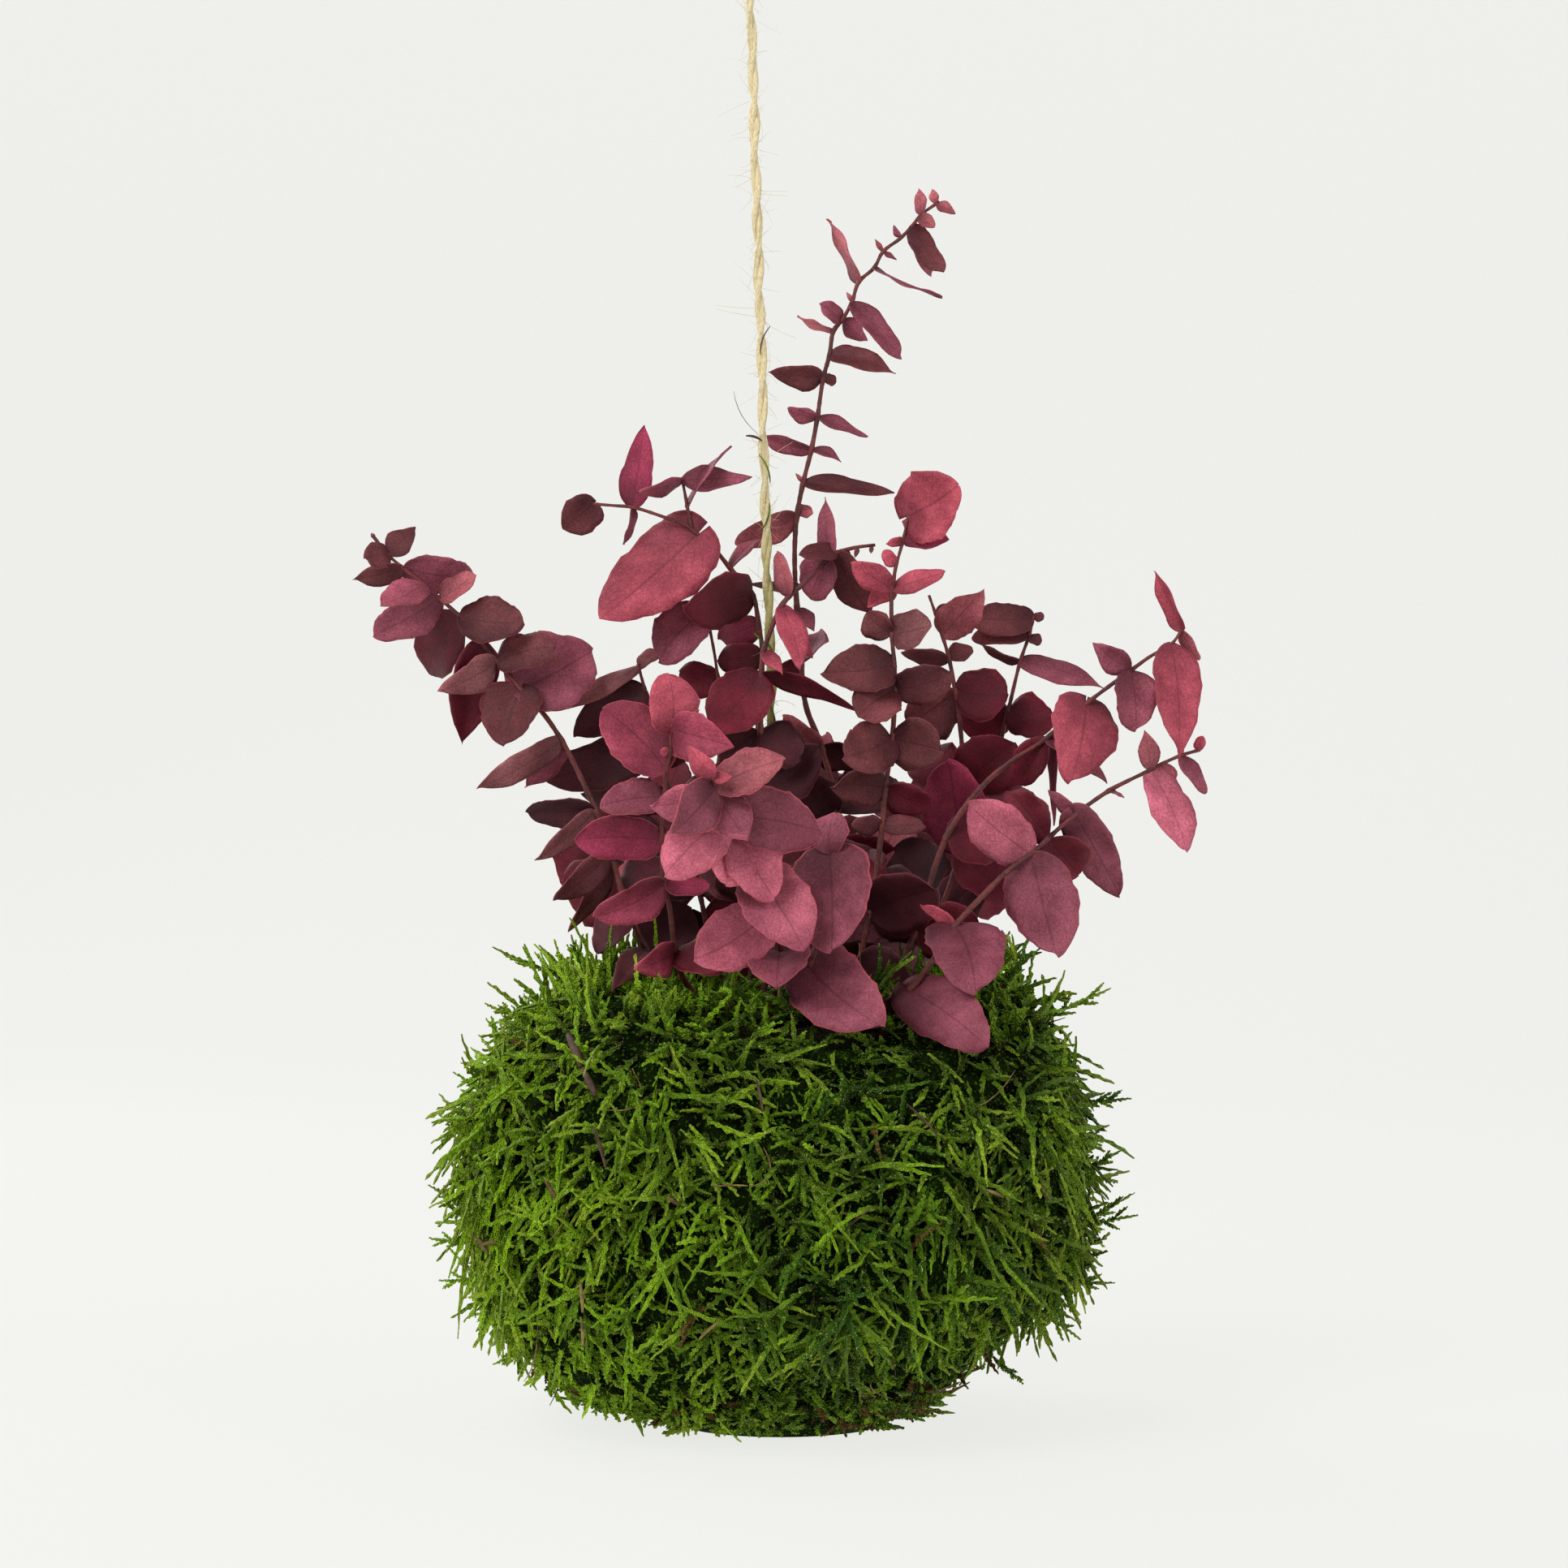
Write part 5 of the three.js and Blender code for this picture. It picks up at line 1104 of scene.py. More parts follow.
class MOSSBALL_OT_twine(bpy.types.Operator):
    """Lay the jute twine with its loop, knot and loose fibres"""
    bl_idname = "mossball.twine"
    bl_label = "Lay the twine"

    def execute(self, context):
        settings = context.scene.mossball_twine
        radius = settings.diameter / MM / 2
        lay = settings.lay / MM
        jute = jute_material(settings)
        heights = np.linspace(STEM_FOOT_HEIGHT, TWINE_TOP_HEIGHT, TWINE_RINGS)
        path = np.array([twine_point(h) for h in heights])
        twine = self.rope("jute_twine", [path], radius, settings.plies, lay, jute)
        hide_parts("twine")
        loop = self.rope("jute_loop", self.loop_paths(radius), radius, settings.plies, lay, jute)
        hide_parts("twine_loop")
        fibres = self.fibres(path, radius, settings.fibres, jute)
        return {"FINISHED"}

    def rope(self, name, paths, radius, plies, lay, jute):
        """Twine along each of the paths, as one piece."""
        parts = []
        for path in paths:
            centres, radii, steps = ply_tubes(path, radius, plies, lay)
            template, coords = tube_template(name + "_strand", STRAND_SIDES, len(path) - 1)
            places = lay_tubes(coords, centres, radii, AWAY, STRAND_TWIST)
            ring = np.rint(coords[:, 2] * (len(path) - 1)).astype(int)
            turn = np.arctan2(coords[:, 1], coords[:, 0]) / (2 * np.pi) + 0.5
            uv = np.stack((steps[ring] / 10, turn), axis=-1)
            parts.append((template, places, (0.5, 0.5, 0.0, 1.0), uv, 0))
        piece = build_piece(name, parts, [jute])
        return piece

    def loop_paths(self, radius):
        """The loop's two legs and the tilted turn of the knot, as in the solids."""
        knot = twine_point(TWINE_TOP_HEIGHT + SEAT_GAP + KNOT_RISE)
        points = [knot + (LEG_SPREAD, 0, -LEG_SPREAD)]
        for i in range(LOOP_POINTS + 1):
            angle = LOOP_START_ANGLE + (math.pi - 2 * LOOP_START_ANGLE) * i / LOOP_POINTS
            high = math.sin(angle)
            points.append(knot + (LOOP_WIDTH / 2 * math.cos(angle) * (0.62 + 0.38 * high), 0,
                                  2 * LEG_SPREAD + LOOP_HEIGHT / 2 * (1 + high)))
        points.append(knot + (-LEG_SPREAD, 0, -LEG_SPREAD))
        turn = np.linspace(0, 2 * np.pi, 25)
        wide = radius + 0.5
        ring = np.stack((wide * np.cos(turn), wide * np.sin(turn) * math.cos(KNOT_TILT),
                         wide * np.sin(turn) * math.sin(KNOT_TILT) + LEG_SPREAD), axis=-1)
        return [even_points(points, 1.0)[0], knot + ring]

    def fibres(self, path, radius, count, jute):
        """Thin loose fibres that stand off the twine."""
        rng = np.random.default_rng(11)
        count = count
        start = path[rng.integers(14, len(path) - 1, count)]
        around = rng.uniform(0, 2 * np.pi, count)
        out = np.stack((np.cos(around), np.sin(around), np.zeros(count)), axis=-1)
        way = unit(out * rng.uniform(0.25, 1.0, (count, 1))
                   + UP * rng.uniform(-1.0, 1.0, (count, 1)))
        curl = unit(rng.normal(size=(count, 3)))
        length = 1.5 + 6.5 * rng.random((count, 1)) ** 2.2
        t = np.linspace(0, 1, 6)[None, :, None]
        centres = (start[:, None] + out[:, None] * radius * 0.9 + way[:, None] * t * length[:, None]
                   + curl[:, None] * t ** 2 * length[:, None] * 0.45)
        radii = np.linspace(*FIBRE_RADII, 6)[None, :] * rng.uniform(0.7, 1.2, (count, 1))
        template, coords = tube_template("jute_fibre", 3, 5)
        places = lay_tubes(coords, centres, radii, SLANT)
        parts = [(template, places, (0.5, 0.5, 0.0, 1.0), (0.5, 0.5), 0)]
        piece = build_piece("jute_fibres", parts, [jute])
        return piece


def outline(leaf, u):
    """Share of the half width at a place along the blade: slender blades are more pointed."""
    a, b = FORM_POWERS[leaf.form]
    slender = np.clip((0.46 - leaf.half / leaf.length) / 0.16, 0, 1)
    b = b + 0.1 * draw(leaf.number + 40) + 0.14 * slender
    peak = (a / (a + b)) ** a * (b / (a + b)) ** b
    return np.maximum(0.03, u ** a * (1 - u) ** b / peak)


def blade_places(leaf, coords, thickness, wave):
    """Places of a blade's vertices, and its map from base to tip and edge to edge."""
    across = coords[:, 0] * 2
    face = np.where(coords[:, 2] > coords[:, 2].mean(), 0.5, -0.5)
    u = 0.5 - 0.5 * np.cos(np.pi * (coords[:, 1] + 0.5))
    seed = leaf.number
    small = min(1.0, leaf.half / 5)
    ripple = 1 + small * (0.045 * np.sin(8 * u + seed + across)
                          + 0.03 * np.sin(23 * u + seed * across)
                          + 0.022 * np.sin(58 * u + 5 * seed * across))
    wide = outline(leaf, u) * ripple * 1.06
    lobe = 0.13 if leaf.form == HEART else 0.04
    place = u - lobe * np.abs(across) ** 1.6 * (1 - u) ** 2
    place = place + 0.03 * across * math.sin(3 * seed) * u
    edge = wave * small * across ** 2 * np.sin(10 * u + 2 * across + seed)
    fold = (0.4 * draw(seed + 300) - 0.08) * leaf.half * np.abs(across) ** 0.8 * wide
    turn = math.radians(34) * (draw(seed + 210) - 0.5)
    turned = across * wide * leaf.half * np.sin(turn * u)
    body = thickness * (1 - 0.45 * across ** 2)
    places = leaf.point(place, across * wide, face * body + edge + fold + turned)
    sweep = (draw(seed + 900) - 0.5) * 0.09 * leaf.length * 4 * u * (1 - u)
    places = places + leaf.side * sweep[:, None]
    return places, np.stack((u, across / 2 + 0.5), axis=-1)


class MOSSBALL_OT_sprays(bpy.types.Operator):
    """Grow the leafy sprays, each in the place of its solid"""
    bl_idname = "mossball.sprays"
    bl_label = "Grow the sprays"

    def execute(self, context):
        settings = context.scene.mossball_leaves
        tones = {"r": settings.rose, "p": settings.pale, "m": settings.mauve,
                 "g": settings.magenta, "d": settings.deep, "b": settings.brown,
                 "k": settings.dark, "s": settings.grey, "c": settings.crimson,
                 "q": settings.dusty}
        finishes = [leaf_material(), stem_material()]
        large = blade_template("blade_large", *LONG_LEAF_FACES)
        small = blade_template("blade_small", *SHORT_LEAF_FACES)
        shoots, stems, leaves = place_leaves()
        if len(leaves) < LEAST_LEAVES:
            raise RuntimeError("too few leaves found a clear place")
        for name in PLACING_ORDER:
            parts = [self.stem(name, index, shoot) for index, shoot in enumerate(shoots[name])]
            rim = 1.0 if name in RIMMED_SPRAYS else 0.3
            for leaf in (leaf for leaf in leaves if leaf.spray == name):
                template, coords = large if leaf.length > LONG_LEAF else small
                places, uv = blade_places(leaf, coords, settings.thickness / MM,
                                          settings.wave / MM)
                tint = np.full((1, len(uv), 4), rim)
                own = np.array(tones[leaf.tint]) * (0.8 + 0.4 * draw(leaf.number + 70))
                # The leaf's own tone, with painted shade towards its base and one side
                tint[0, :, :3] = own * self.painted_shade(uv, leaf.number)[:, None]
                parts.append((template, places[None], tint, uv, 0))
            piece = build_piece(name.replace("spray_", "") + "_spray", parts, finishes)
            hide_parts(name)
        points = [leaf.samples for leaf in leaves] + [rows for _, rows in stems]
        context.scene["mossball_reach"] = np.concatenate(points).ravel().tolist()
        return {"FINISHED"}

    def painted_shade(self, uv, number):
        """Painted shade: how much a leaf is made darker towards its base and towards one of its
        sides.
        """
        lean = 1.1 * (2 * draw(number + 55) - 1)
        dark = 0.6 * (1 - uv[:, 0]) ** 1.3 + lean * (uv[:, 1] - 0.5)
        return 1.14 - 0.62 * np.clip(dark, 0, 1)

    def stem(self, name, index, shoot):
        """A knobbly stem, thicker where leaves grow."""
        foot = TWIG_FOOT_RADIUS if index else STEM_FOOT_RADIUS
        points = shoot_points(shoot)
        line, shares = even_points(points, STEM_STEP)
        line = np.vstack((line, line[-1] + unit(line[-1] - line[-2]) * STEM_END))
        shares = np.append(shares, 1.0)
        swell = np.zeros(len(line))
        for place, (_, leaves) in zip(points[2:], shoot[2:]):
            if leaves:
                swell += 0.28 * np.exp(-np.sum((line - place) ** 2, axis=1) / 1.6)
        seed = len(name) + 7 * index
        knobs = np.array([0.10 * (2 * draw(31 * i + seed) - 1) for i in range(len(line))])
        radii = STEM_SLIM * (foot + (STEM_TIP_RADIUS - foot) * shares) * (1 + swell + knobs)
        template, coords = tube_template(f"{name}_stem_{index}", 8, len(line) - 1)
        places = lay_tubes(coords, line[None], radii[None], AWAY)
        uv = np.stack((coords[:, 2], coords[:, 0] * 0.5 + 0.5), axis=-1)
        return template, places, (0.3, 0.1, 0.1, 1.0), uv, 1


# A moss branch: its way runs from foot by length * (direction * t + bend * t * t), its side
# and its new growth with painted light at both sides, its dead and its start set its scales and
# tint
Branch = namedtuple("Branch", "foot direction bend length radius kind fresh dead side start")


def column(branches, name):
    """One value of each branch as an array."""
    return np.array([getattr(branch, name) for branch in branches])


class MossField:
    """The moss shoots' places, kept clear of the leaves, the stems and the twine."""

    def __init__(self, settings, tree):
        self.rng = np.random.default_rng(5)
        self.count = settings.shoots
        self.length = settings.length / MM
        self.tree = tree

    def roots(self):
        """Foot places spread evenly over the ball's outer surface, with their directions."""
        rng = self.rng
        fine = np.linspace(0, len(BALL_LINE) - 1, 400)
        radius, height = ball_line(fine)
        area = radius * np.hypot(np.gradient(radius), np.gradient(height))
        share = np.cumsum(area) / np.sum(area)
        row = np.interp((np.arange(self.count) + rng.random(self.count)) / self.count,
                        share, fine)
        angle = np.arange(self.count) * GOLDEN_ANGLE + rng.normal(0, 0.15, self.count)
        foot = ball_point(row, angle, ROOT_DEPTH + np.clip((row - 6.5) / 2, 0, 1))
        out = unit(foot - BALL_CENTRE)
        return foot + out * lumps(row, angle)[:, None], out

    def crown(self):
        """Foot places over the open crown, round the stems."""
        rng = self.rng
        count = self.count // CROWN_EVERY
        angle = rng.uniform(0, 2 * np.pi, count)
        wide = CROWN_MOSS_RADIUS * np.sqrt(rng.uniform(0.1, 1.0, count))
        high = CROWN_FLOOR_HEIGHT + 1 + 5 * (wide / CROWN_MOSS_RADIUS) ** 2
        foot = np.stack((wide * np.cos(angle), wide * np.sin(angle), high), axis=-1)
        return foot, unit(foot * (0.4, 0.4, 0) + 26.0 * UP)

    def hem(self):
        """Foot places of the short shoots that fringe the underside."""
        count = self.count // HEM_EVERY
        angle = self.rng.uniform(0, 2 * np.pi, count)
        foot = ball_point(self.rng.uniform(*HEM_ROWS, count), angle, HEM_DEPTH)
        return foot, unit(foot - BALL_CENTRE)

    def main_shoots(self):
        """Feet, outward directions, directions, bends and lengths of the main shoots."""
        rng = self.rng
        foot, out = (np.vstack(group) for group in zip(self.roots(), self.crown(), self.hem()))
        count = len(foot)
        around = unit(np.cross(UP, out) + 1e-6)
        down = np.cross(around, out)
        high = np.clip((foot[:, 2:3] - 90) / 12, 0, 1)
        under = np.clip((15 - foot[:, 2:3]) / 8, 0, 1)
        way = unit(around * rng.normal(0, 0.9, (count, 1))
                   + down * (rng.normal(0.5, 0.7, (count, 1)) - 1.2 * high) * (1 - 0.9 * under))
        rise = 0.16 + 0.4 * rng.random((count, 1)) ** 1.5 + 0.24 * high
        direction = unit(way * (1 - rise) + out * rise + high * (0, 0, 0.1)
                         + under * (unit(out * (1, 1, 0)) * 0.9
                                    + rng.uniform(-0.2, 0.35, (count, 1)) * UP))
        across = np.cross(way, out)
        bend = across * rng.normal(0, 0.56, (count, 1)) + out * rng.normal(-0.12, 0.24, (count, 1))
        hang = np.clip((foot[:, 2:3] - 12) / 40, 0, 1)
        bend = bend + (1 - high) * hang * (0, 0, -0.22) - out * 0.2 * (1 - hang) * (1 - under)
        low = np.clip(foot[:, 2] / 36, 0.55, 1.0)
        length = self.length * low * rng.uniform(0.65, 1.35, count) * (1 + 0.1 * high[:, 0])
        return foot, out, direction, bend, length

    def edge_shoots(self):
        """The longer shoots seen past the ball's outline."""
        foot, tip = (np.array([from_view(row[k], row[4], row[k + 1]) for row in EDGE_SHOOTS])
                     for k in (0, 2))
        way = tip - foot
        length = np.linalg.norm(way, axis=1)
        out = unit(foot - BALL_CENTRE + (0, -60, 0))
        bend = np.cross(unit(way), out) * 0.1 + np.array((0, 0, 0.08))
        return foot, out, unit(way), bend, length * 1.05

    def branches(self):
        """Every shoot, each followed by its side branches."""
        rng = self.rng
        foot, out, direction, bend, length = (
            np.concatenate(pair) for pair in zip(self.main_shoots(), self.edge_shoots()))
        count = len(foot)
        patch = np.array([noise.noise(Vector(p) * 0.045) for p in foot])
        fresh = np.clip(0.4 + 0.7 * patch + 0.5 * (rng.random(count) - 0.5), 0, 1)
        # Painted light: shoots at both sides are made lighter, those on the left most
        painted_side_light = np.clip((np.abs(foot[:, 0] + 8) - 48) / 24, 0, 1)
        fresh = np.clip(fresh + np.where(foot[:, 0] < 0, 0.5, 0.3) * painted_side_light, 0, 1)
        brown = 0.3 * np.clip((22 - foot[:, 2]) / 14, 0, 1) * np.clip(foot[:, 0] / 30, 0.2, 1)
        dead = (rng.random(count) > 0.993 - brown).astype(float)
        dead[-len(EDGE_SHOOTS):] = 0
        side = unit(np.cross(out, direction) + 0.25 * rng.normal(size=(count, 3)))
        found = []
        for n in range(count):
            edge = n >= count - len(EDGE_SHOOTS)
            found.append(Branch(foot[n], direction[n], bend[n], length[n],
                                EDGE_RADIUS if edge else SHOOT_RADIUS,
                                EDGE_SHOOT if edge else SHOOT, fresh[n], dead[n], side[n], 0.0))
            forks = 4 if edge else rng.choice((0, 0, 0, 1))
            for k in range(forks):
                t = 0.22 + 0.5 * (k + rng.random()) / forks
                at = foot[n] + length[n] * (direction[n] * t + bend[n] * t * t)
                along = unit(direction[n] + 2 * bend[n] * t)
                hand = 1 if k % 2 else -1
                way = unit(along + side[n] * hand * rng.uniform(0.3, 0.7)
                           + out[n] * rng.uniform(-0.1, 0.3))
                size = length[n] * (0.3 if edge else 0.72 - 0.3 * t) * rng.uniform(0.75, 1.15)
                found.append(Branch(at, way, bend[n] * 0.6 - along * 0.1, size,
                                    EDGE_BRANCH_RADIUS if edge else BRANCH_RADIUS,
                                    BRANCH, fresh[n], dead[n], out[n], t))
        return found

    def clear(self, foot, direction, bend, length, radius):
        """Whether a branch stays clear of the leaves and above the floor."""
        for t in TESTED_SHARES:
            p = foot + length * (direction * t + bend * t * t)
            if p[2] < LOWEST_MOSS or self.tree.find(p)[2] < MOSS_TO_LEAF + radius:
                return False
            if p[1] < -20 and min(self.tree.find(p + (0, y, 0))[2]
                                  for y in (4, 8, 12)) < MOSS_BEFORE_LEAF:
                return False
        return True

    def kept(self):
        """The branches that stay clear, shortened where that is enough."""
        found = []
        for branch in self.branches():
            foot, direction, bend, length, radius = branch[:5]
            for share in SHORTENED_SHARES:
                if self.clear(foot, direction, bend, length * share, radius):
                    found.append(branch._replace(length=length * share))
                    break
        return found


def scaly_places(coords, spans, branches):
    """Tubes with scales: rings of points that stand out and lie in by turns."""
    foot, direction, bend, length, radius = (
        column(branches, name) for name in ("foot", "direction", "bend", "length", "radius"))
    side = column(branches, "side")
    t = np.linspace(0, 1, spans + 1)
    centres = (foot[:, None] + length[:, None, None]
               * (direction[:, None] * t[None, :, None] + bend[:, None] * t[None, :, None] ** 2))
    slim = np.clip(np.minimum(0.5 + 2.4 * t, 1.1 - 0.85 * t ** 3), 0.12, 1)
    places = lay_tubes(coords, centres, radius[:, None] * slim[None], side[:, None] + 0.01)
    ring = np.rint(coords[:, 2] * spans).astype(int)
    sides = len(coords) // (spans + 1)
    turn = np.rint(np.arctan2(coords[:, 1], coords[:, 0]) * sides / (2 * np.pi)).astype(int)
    stands = np.where((ring + turn) % 2 == 0, 1.0, -1.0)
    middle = centres[:, ring]
    along = unit(np.gradient(centres, axis=1))[:, ring]
    step = (length / spans)[:, None, None]
    rough = np.random.default_rng(3).uniform(-0.5, 0.5, places.shape[:2] + (1,))
    places = middle + (places - middle) * (1.1 + 0.36 * stands[None, :, None] + rough)
    return places + along * step * (0.5 * (stands > 0) * (ring < spans))[None, :, None]


class MOSSBALL_OT_moss(bpy.types.Operator):
    """Cover the ball with matted moss and branched shoots"""
    bl_idname = "mossball.moss"
    bl_label = "Cover the ball with moss"

    def execute(self, context):
        settings = context.scene.mossball_moss
        tree = tree_of(np.array(context.scene["mossball_reach"]).reshape(-1, 3))
        del context.scene["mossball_reach"]
        self.bed(settings, tree)
        field = MossField(settings, tree)
        branches = field.kept()
        self.scraps(field)
        green = moss_material(settings)
        kinds = [tube_template(f"moss_shoot_{n}", 3, n) for n in SHOOT_SPANS]
        sectors = {"front": [], "right": [], "back": [], "left": []}
        names = list(sectors)
        for branch in branches:
            turn = math.degrees(math.atan2(branch.foot[1], branch.foot[0]))
            sectors[names[int(((turn + 135) % 360) // 90)]].append(branch)
        for name, chosen in sectors.items():
            parts = []
            for kind, (template, coords) in enumerate(kinds):
                same = [branch for branch in chosen if branch.kind == kind]
                if same:
                    places = scaly_places(coords, SHOOT_SPANS[kind], same)
                    tint = self.tint(same, coords, places, field.rng)
                    parts.append((template, places, tint, (0.5, 0.5), 0))
            piece = build_piece("moss_shoots_" + name, parts, [green], smooth=False)
        return {"FINISHED"}

    def tint(self, branches, coords, places, rng):
        """How far along its shoot a point is, its new growth with painted side light, whether it is
        dead, and its painted light.
        """
        tint = np.zeros(places.shape[:2] + (4,))
        start = column(branches, "start")[:, None]
        tint[..., 0] = start * 0.6 + coords[None, :, 2] * (1 - start * 0.6)
        tint[..., 1] = column(branches, "fresh")[:, None]
        tint[..., 2] = column(branches, "dead")[:, None]
        # Painted light, strongest towards the left side, varied in patches and by chance for each
        # shoot
        painted_light = np.clip((24 - places[..., 0]) / 94, 0, 1) ** 1.2
        spots = np.array([noise.noise(Vector(branch.foot) * 0.09 + Vector((7, 3, 1)))
                          for branch in branches])[:, None]
        own = rng.random((len(branches), 1)) ** 1.4 - 0.42
        tint[..., 3] = np.clip(0.26 + 0.5 * painted_light + 0.4 * spots + 0.6 * own, 0, 1)
        return tint

    def scraps(self, field):
        """Bark, straw and dry stems caught in the moss, a few of them where they are seen."""
        tones = [colour(80, 56, 42), colour(136, 116, 66), colour(96, 76, 30), colour(96, 112, 24)]
        ends = [(on_moss(x0, z0, 3.8), on_moss(x1, z1, 4.2), 0.05, radius, tone)
                for x0, z0, x1, z1, radius, tone in SCRAPS]
        ends += [(from_view(x0, -1.5, z0), from_view(x1, -1.9, z1), 0.2, radius, tone)
                 for x0, z0, x1, z1, radius, tone in TWINE_BITS]
        rows = [(start, end - start, np.cross(end - start, AWAY) * curl, radius, tone)
                for start, end, curl, radius, tone in ends]
        foot, out, direction, bend, length = field.main_shoots()
        for n in field.rng.choice(len(foot), SCRAP_COUNT, replace=False):
            start = foot[n] + 2 * out[n]
            if foot[n][2] > 14 and field.clear(start, direction[n], bend[n], 1.2 * length[n], 0.4):
                rows.append((start, direction[n] * length[n] * 1.2, bend[n] * length[n],
                             0.18, n % 2))
        t = np.linspace(0, 1, 7)[None, :, None]
        start, way, curl = (np.array([r[k] for r in rows])[:, None] for k in range(3))
        centres = start + way * t + curl * t * (1 - t) * 2
        slim = 1 - 0.5 * np.abs(2 * t[..., 0] - 1) ** 2
        radii = np.array([r[3] for r in rows])[:, None] * slim
        template, coords = tube_template("scrap", 5, 6)
        places = lay_tubes(coords, centres, radii, SLANT)
        tint = np.array([tones[r[4]] for r in rows])[:, None]
        piece = build_piece("moss_scraps", [(template, places, tint, (0.5, 0.5), 0)],
                            [scrap_material()])

    def bed(self, settings, tree):
        """The matted bed: a closed shell from the floor up, over the rim and down inside."""
        last = len(BALL_LINE) - 1
        rings = [(row, 0.0, True) for row in np.linspace(last, 0, BED_OUTER_RINGS)]
        rings += [(row, COVER_THICKNESS, False) for row in np.linspace(0.0, last, BED_INNER_RINGS)]
        bm = bmesh.new()
        loops = [bmesh.ops.create_circle(bm, cap_ends=False, segments=BED_SIDES,
                                         radius=10)["verts"]]
        edges = bm.edges[:]
        for _ in rings[1:]:
            made = bmesh.ops.extrude_edge_only(bm, edges=edges)["geom"]
            loops.append(made_of(made, bmesh.types.BMVert))
            newest = set(loops[-1])
            edges = [e for e in made_of(made, bmesh.types.BMEdge) if newest.issuperset(e.verts)]
        bmesh.ops.contextual_create(bm, geom=edges)
        bmesh.ops.contextual_create(bm, geom=[e for e in bm.edges if e.is_boundary])
        bm.verts.index_update()
        for loop, (row, inset, rough) in zip(loops, rings):
            turns = [math.atan2(v.co.y, v.co.x) for v in loop]
            base = ball_point(np.full(BED_SIDES, row), np.array(turns), inset)
            for v, turn, p in zip(loop, turns, base):
                v.co = Vector(self.swell(p, row, turn, tree) if rough else p)
        bmesh.ops.recalc_face_normals(bm, faces=bm.faces)
        bmesh.ops.scale(bm, verts=bm.verts, vec=(MM, MM, MM))
        mesh = mesh_of(bm, "moss_mat", True)
        mesh.materials.append(bed_material(settings))
        piece = put("moss_mat", mesh)
        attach(piece, "root")
        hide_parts("moss_cover")

    def swell(self, p, row, angle, tree):
        """Raises a point in lumps and small tufts, less near leaves and at both ends."""
        out = unit(p - BALL_CENTRE)
        edge = min(1.0, row / 1.2, (len(BALL_LINE) - 1 - row) / 1.5)
        rough = noise.noise(Vector(p) * 0.16) * 2.6 + noise.noise(Vector(p) * 0.5) * 1.4
        raise_by = edge * (float(lumps(row, angle)) * 0.9 + rough) - 2.2 * edge
        if raise_by > 0:
            raise_by *= min(1.0, max(0.0, (tree.find(p)[2] - 2.2) / 3))
        p = p + out * raise_by
        p[2] = max(p[2], 0.0)
        return p


class MOSSBALL_OT_soil(bpy.types.Operator):
    """Give the soil core its finish"""
    bl_idname = "mossball.soil"
    bl_label = "Finish the soil"

    def execute(self, context):
        core = bpy.data.objects.get("substrate_core")
        if core is None:
            raise RuntimeError("the soil core is missing")
        soil = soil_material()
        for slot in core.material_slots:
            slot.material = soil
        return {"FINISHED"}


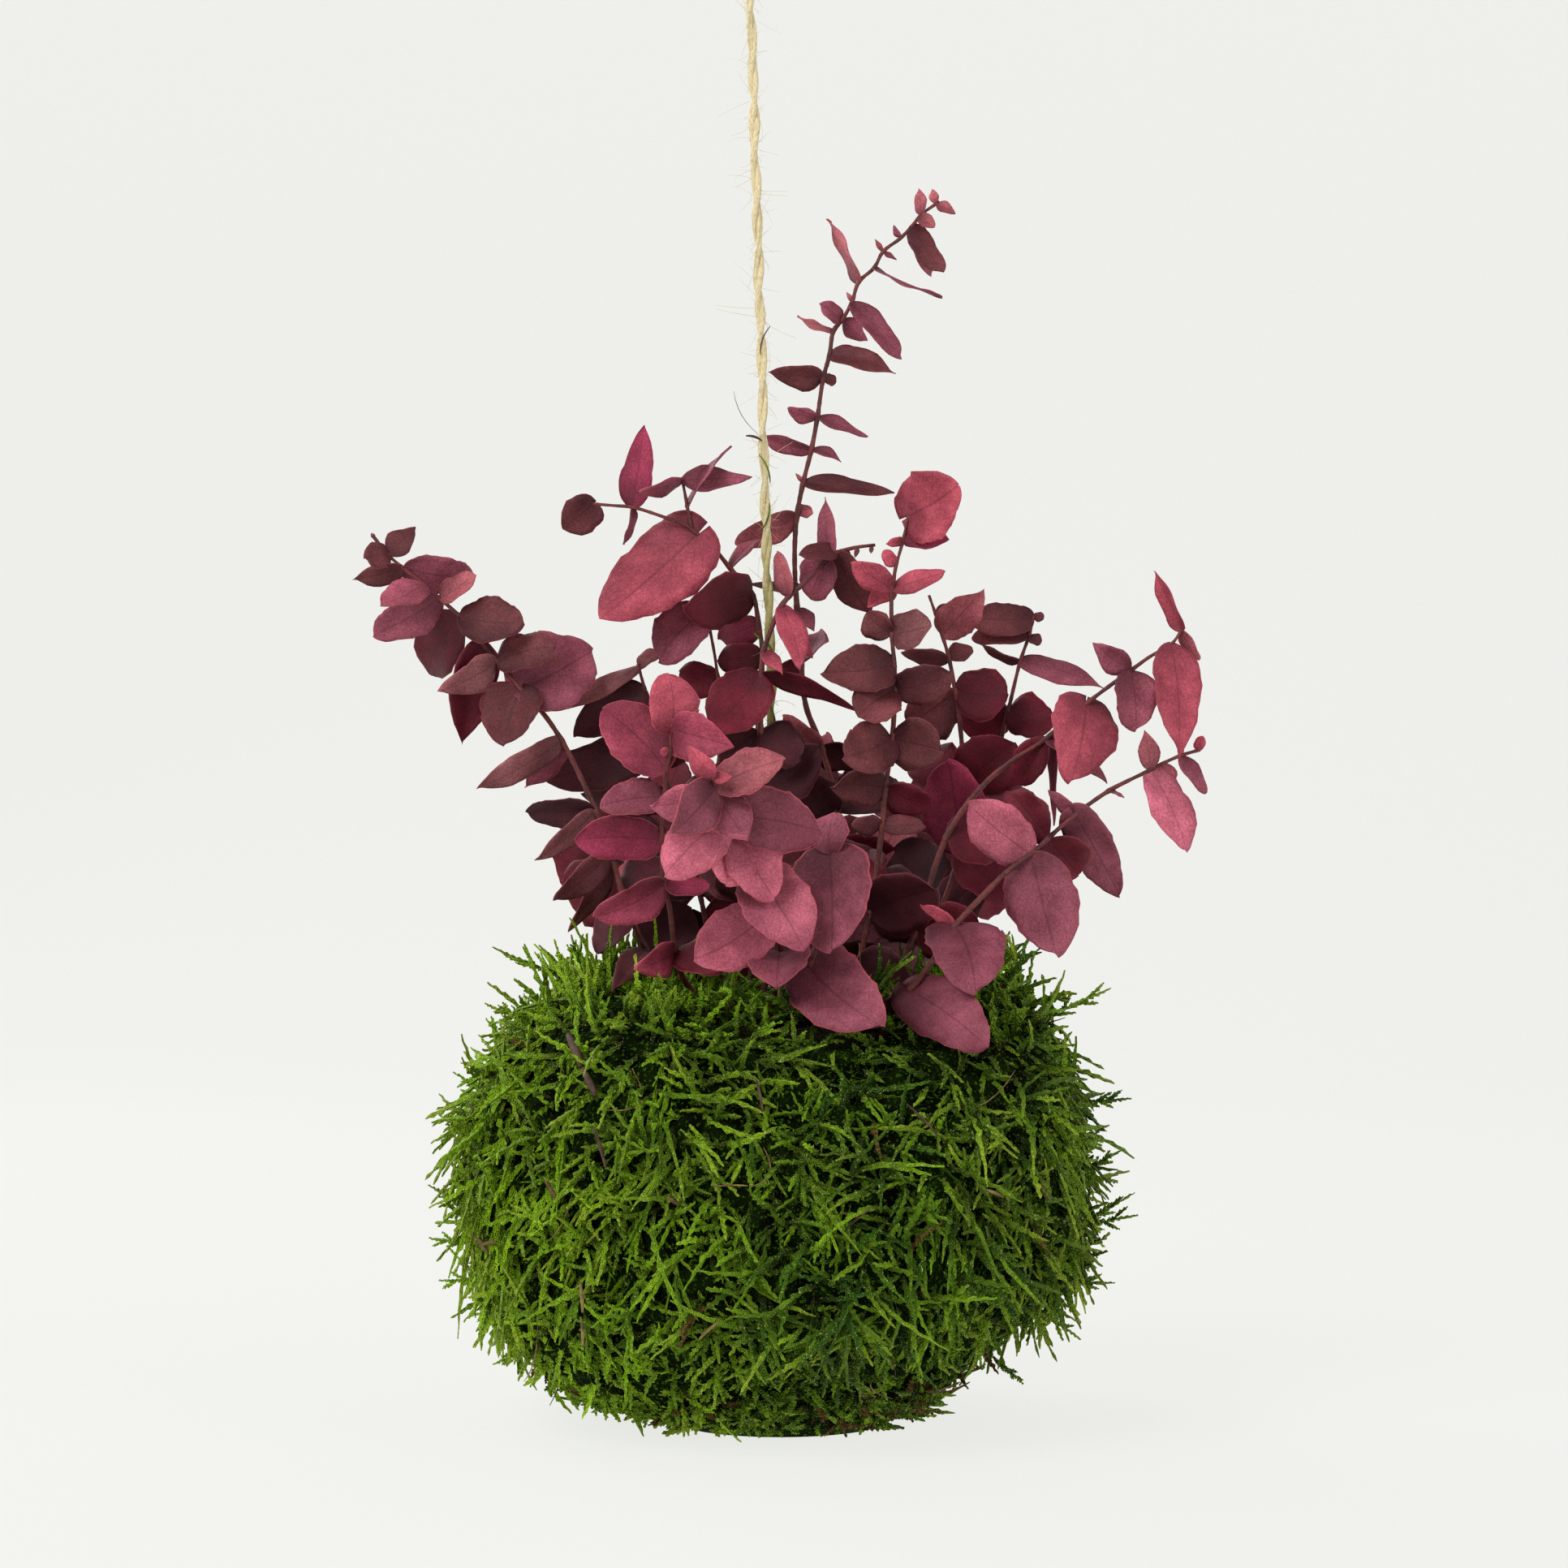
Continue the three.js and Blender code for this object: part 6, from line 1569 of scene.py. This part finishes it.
class MOSSBALL_OT_stage(bpy.types.Operator):
    """Set the camera, the lights and the pale floor"""
    bl_idname = "mossball.stage"
    bl_label = "Set the stage"

    def execute(self, context):
        settings = context.scene.mossball_stage
        lens = bpy.data.cameras.new("eye")
        lens.lens = LENS
        lens.sensor_width = SENSOR_WIDTH
        camera = put("eye", lens)
        camera.location = (CAMERA_X, -EYE_DISTANCE * MM, EYE_HEIGHT * MM)
        camera.rotation_euler = (math.pi / 2, 0, 0)
        bpy.context.scene.camera = camera
        self.floor(settings)
        self.light("key", (-0.9, -1.1, 1.3), 1.2, settings.key_power)
        self.light("fill", (1.2, -0.8, 0.7), 1.0, settings.fill_power)
        self.light("rim", (-0.7, 0.8, 0.8), 0.8, settings.fill_power)
        world = bpy.data.worlds.new("room")
        world.use_nodes = True
        back = world.node_tree.nodes["Background"].inputs
        back[0].default_value = (1, 1, 1, 1)
        back[1].default_value = settings.room
        context.scene.world = world
        context.scene.view_settings.view_transform = "Standard"
        return {"FINISHED"}

    def floor(self, settings):
        """A floor that turns up smoothly behind the plant."""
        bm = bmesh.new()
        bmesh.ops.create_grid(bm, x_segments=1, y_segments=1, size=1)
        bmesh.ops.scale(bm, verts=bm.verts, vec=(9, 3, 1))
        bmesh.ops.translate(bm, verts=bm.verts, vec=(0, -2, 0))
        back = [e for e in bm.edges if all(v.co.y > 0.9 for v in e.verts)]
        spun = bmesh.ops.spin(bm, geom=back, cent=(0, 1.0, 0.8), axis=(1, 0, 0), dvec=(0, 0, 0),
                              angle=math.pi / 2, steps=16, use_merge=False)["geom_last"]
        raised = bmesh.ops.extrude_edge_only(bm, edges=made_of(spun, bmesh.types.BMEdge))["geom"]
        bmesh.ops.translate(bm, vec=(0, 0, 2.5), verts=made_of(raised, bmesh.types.BMVert))
        mesh = mesh_of(bm, "floor", True)
        mesh.materials.append(stage_material(settings))
        put("floor", mesh)

    def light(self, name, place, size, power):
        """A round soft light that looks at the plant."""
        data = bpy.data.lights.new(name, "AREA")
        data.shape = "DISK"
        data.size = size
        data.energy = power
        lamp = put(name, data)
        lamp.location = place
        lamp.rotation_euler = (Vector((0, 0, LIGHTS_AIM)) - Vector(place)).to_track_quat(
            "-Z", "Y").to_euler()


class MOSSBALL_PT_panel(bpy.types.Panel):
    """Buttons for the steps that build the moss ball plant"""
    bl_label = "Moss Ball Plant"
    bl_idname = "MOSSBALL_PT_panel"
    bl_space_type = "VIEW_3D"
    bl_region_type = "UI"
    bl_category = "Moss Ball"

    def draw(self, context):
        for operator in OPERATORS:
            self.layout.operator(operator.bl_idname)


OPERATORS = [MOSSBALL_OT_stage, MOSSBALL_OT_twine, MOSSBALL_OT_sprays, MOSSBALL_OT_moss,
             MOSSBALL_OT_soil]
SETTINGS = {"mossball_twine": TwineSettings, "mossball_leaves": LeafSettings,
            "mossball_moss": MossSettings, "mossball_stage": StageSettings}


def register():
    for group in (*SETTINGS.values(), *OPERATORS, MOSSBALL_PT_panel):
        bpy.utils.register_class(group)
    for name, group in SETTINGS.items():
        setattr(bpy.types.Scene, name, bpy.props.PointerProperty(type=group))


def unregister():
    for name in SETTINGS:
        delattr(bpy.types.Scene, name)
    for group in (MOSSBALL_PT_panel, *OPERATORS, *SETTINGS.values()):
        bpy.utils.unregister_class(group)


def main():
    register()
    for make in (bpy.ops.mossball.stage, bpy.ops.mossball.twine, bpy.ops.mossball.sprays,
                 bpy.ops.mossball.moss, bpy.ops.mossball.soil):
        make()


if __name__ == "__main__":
    main()
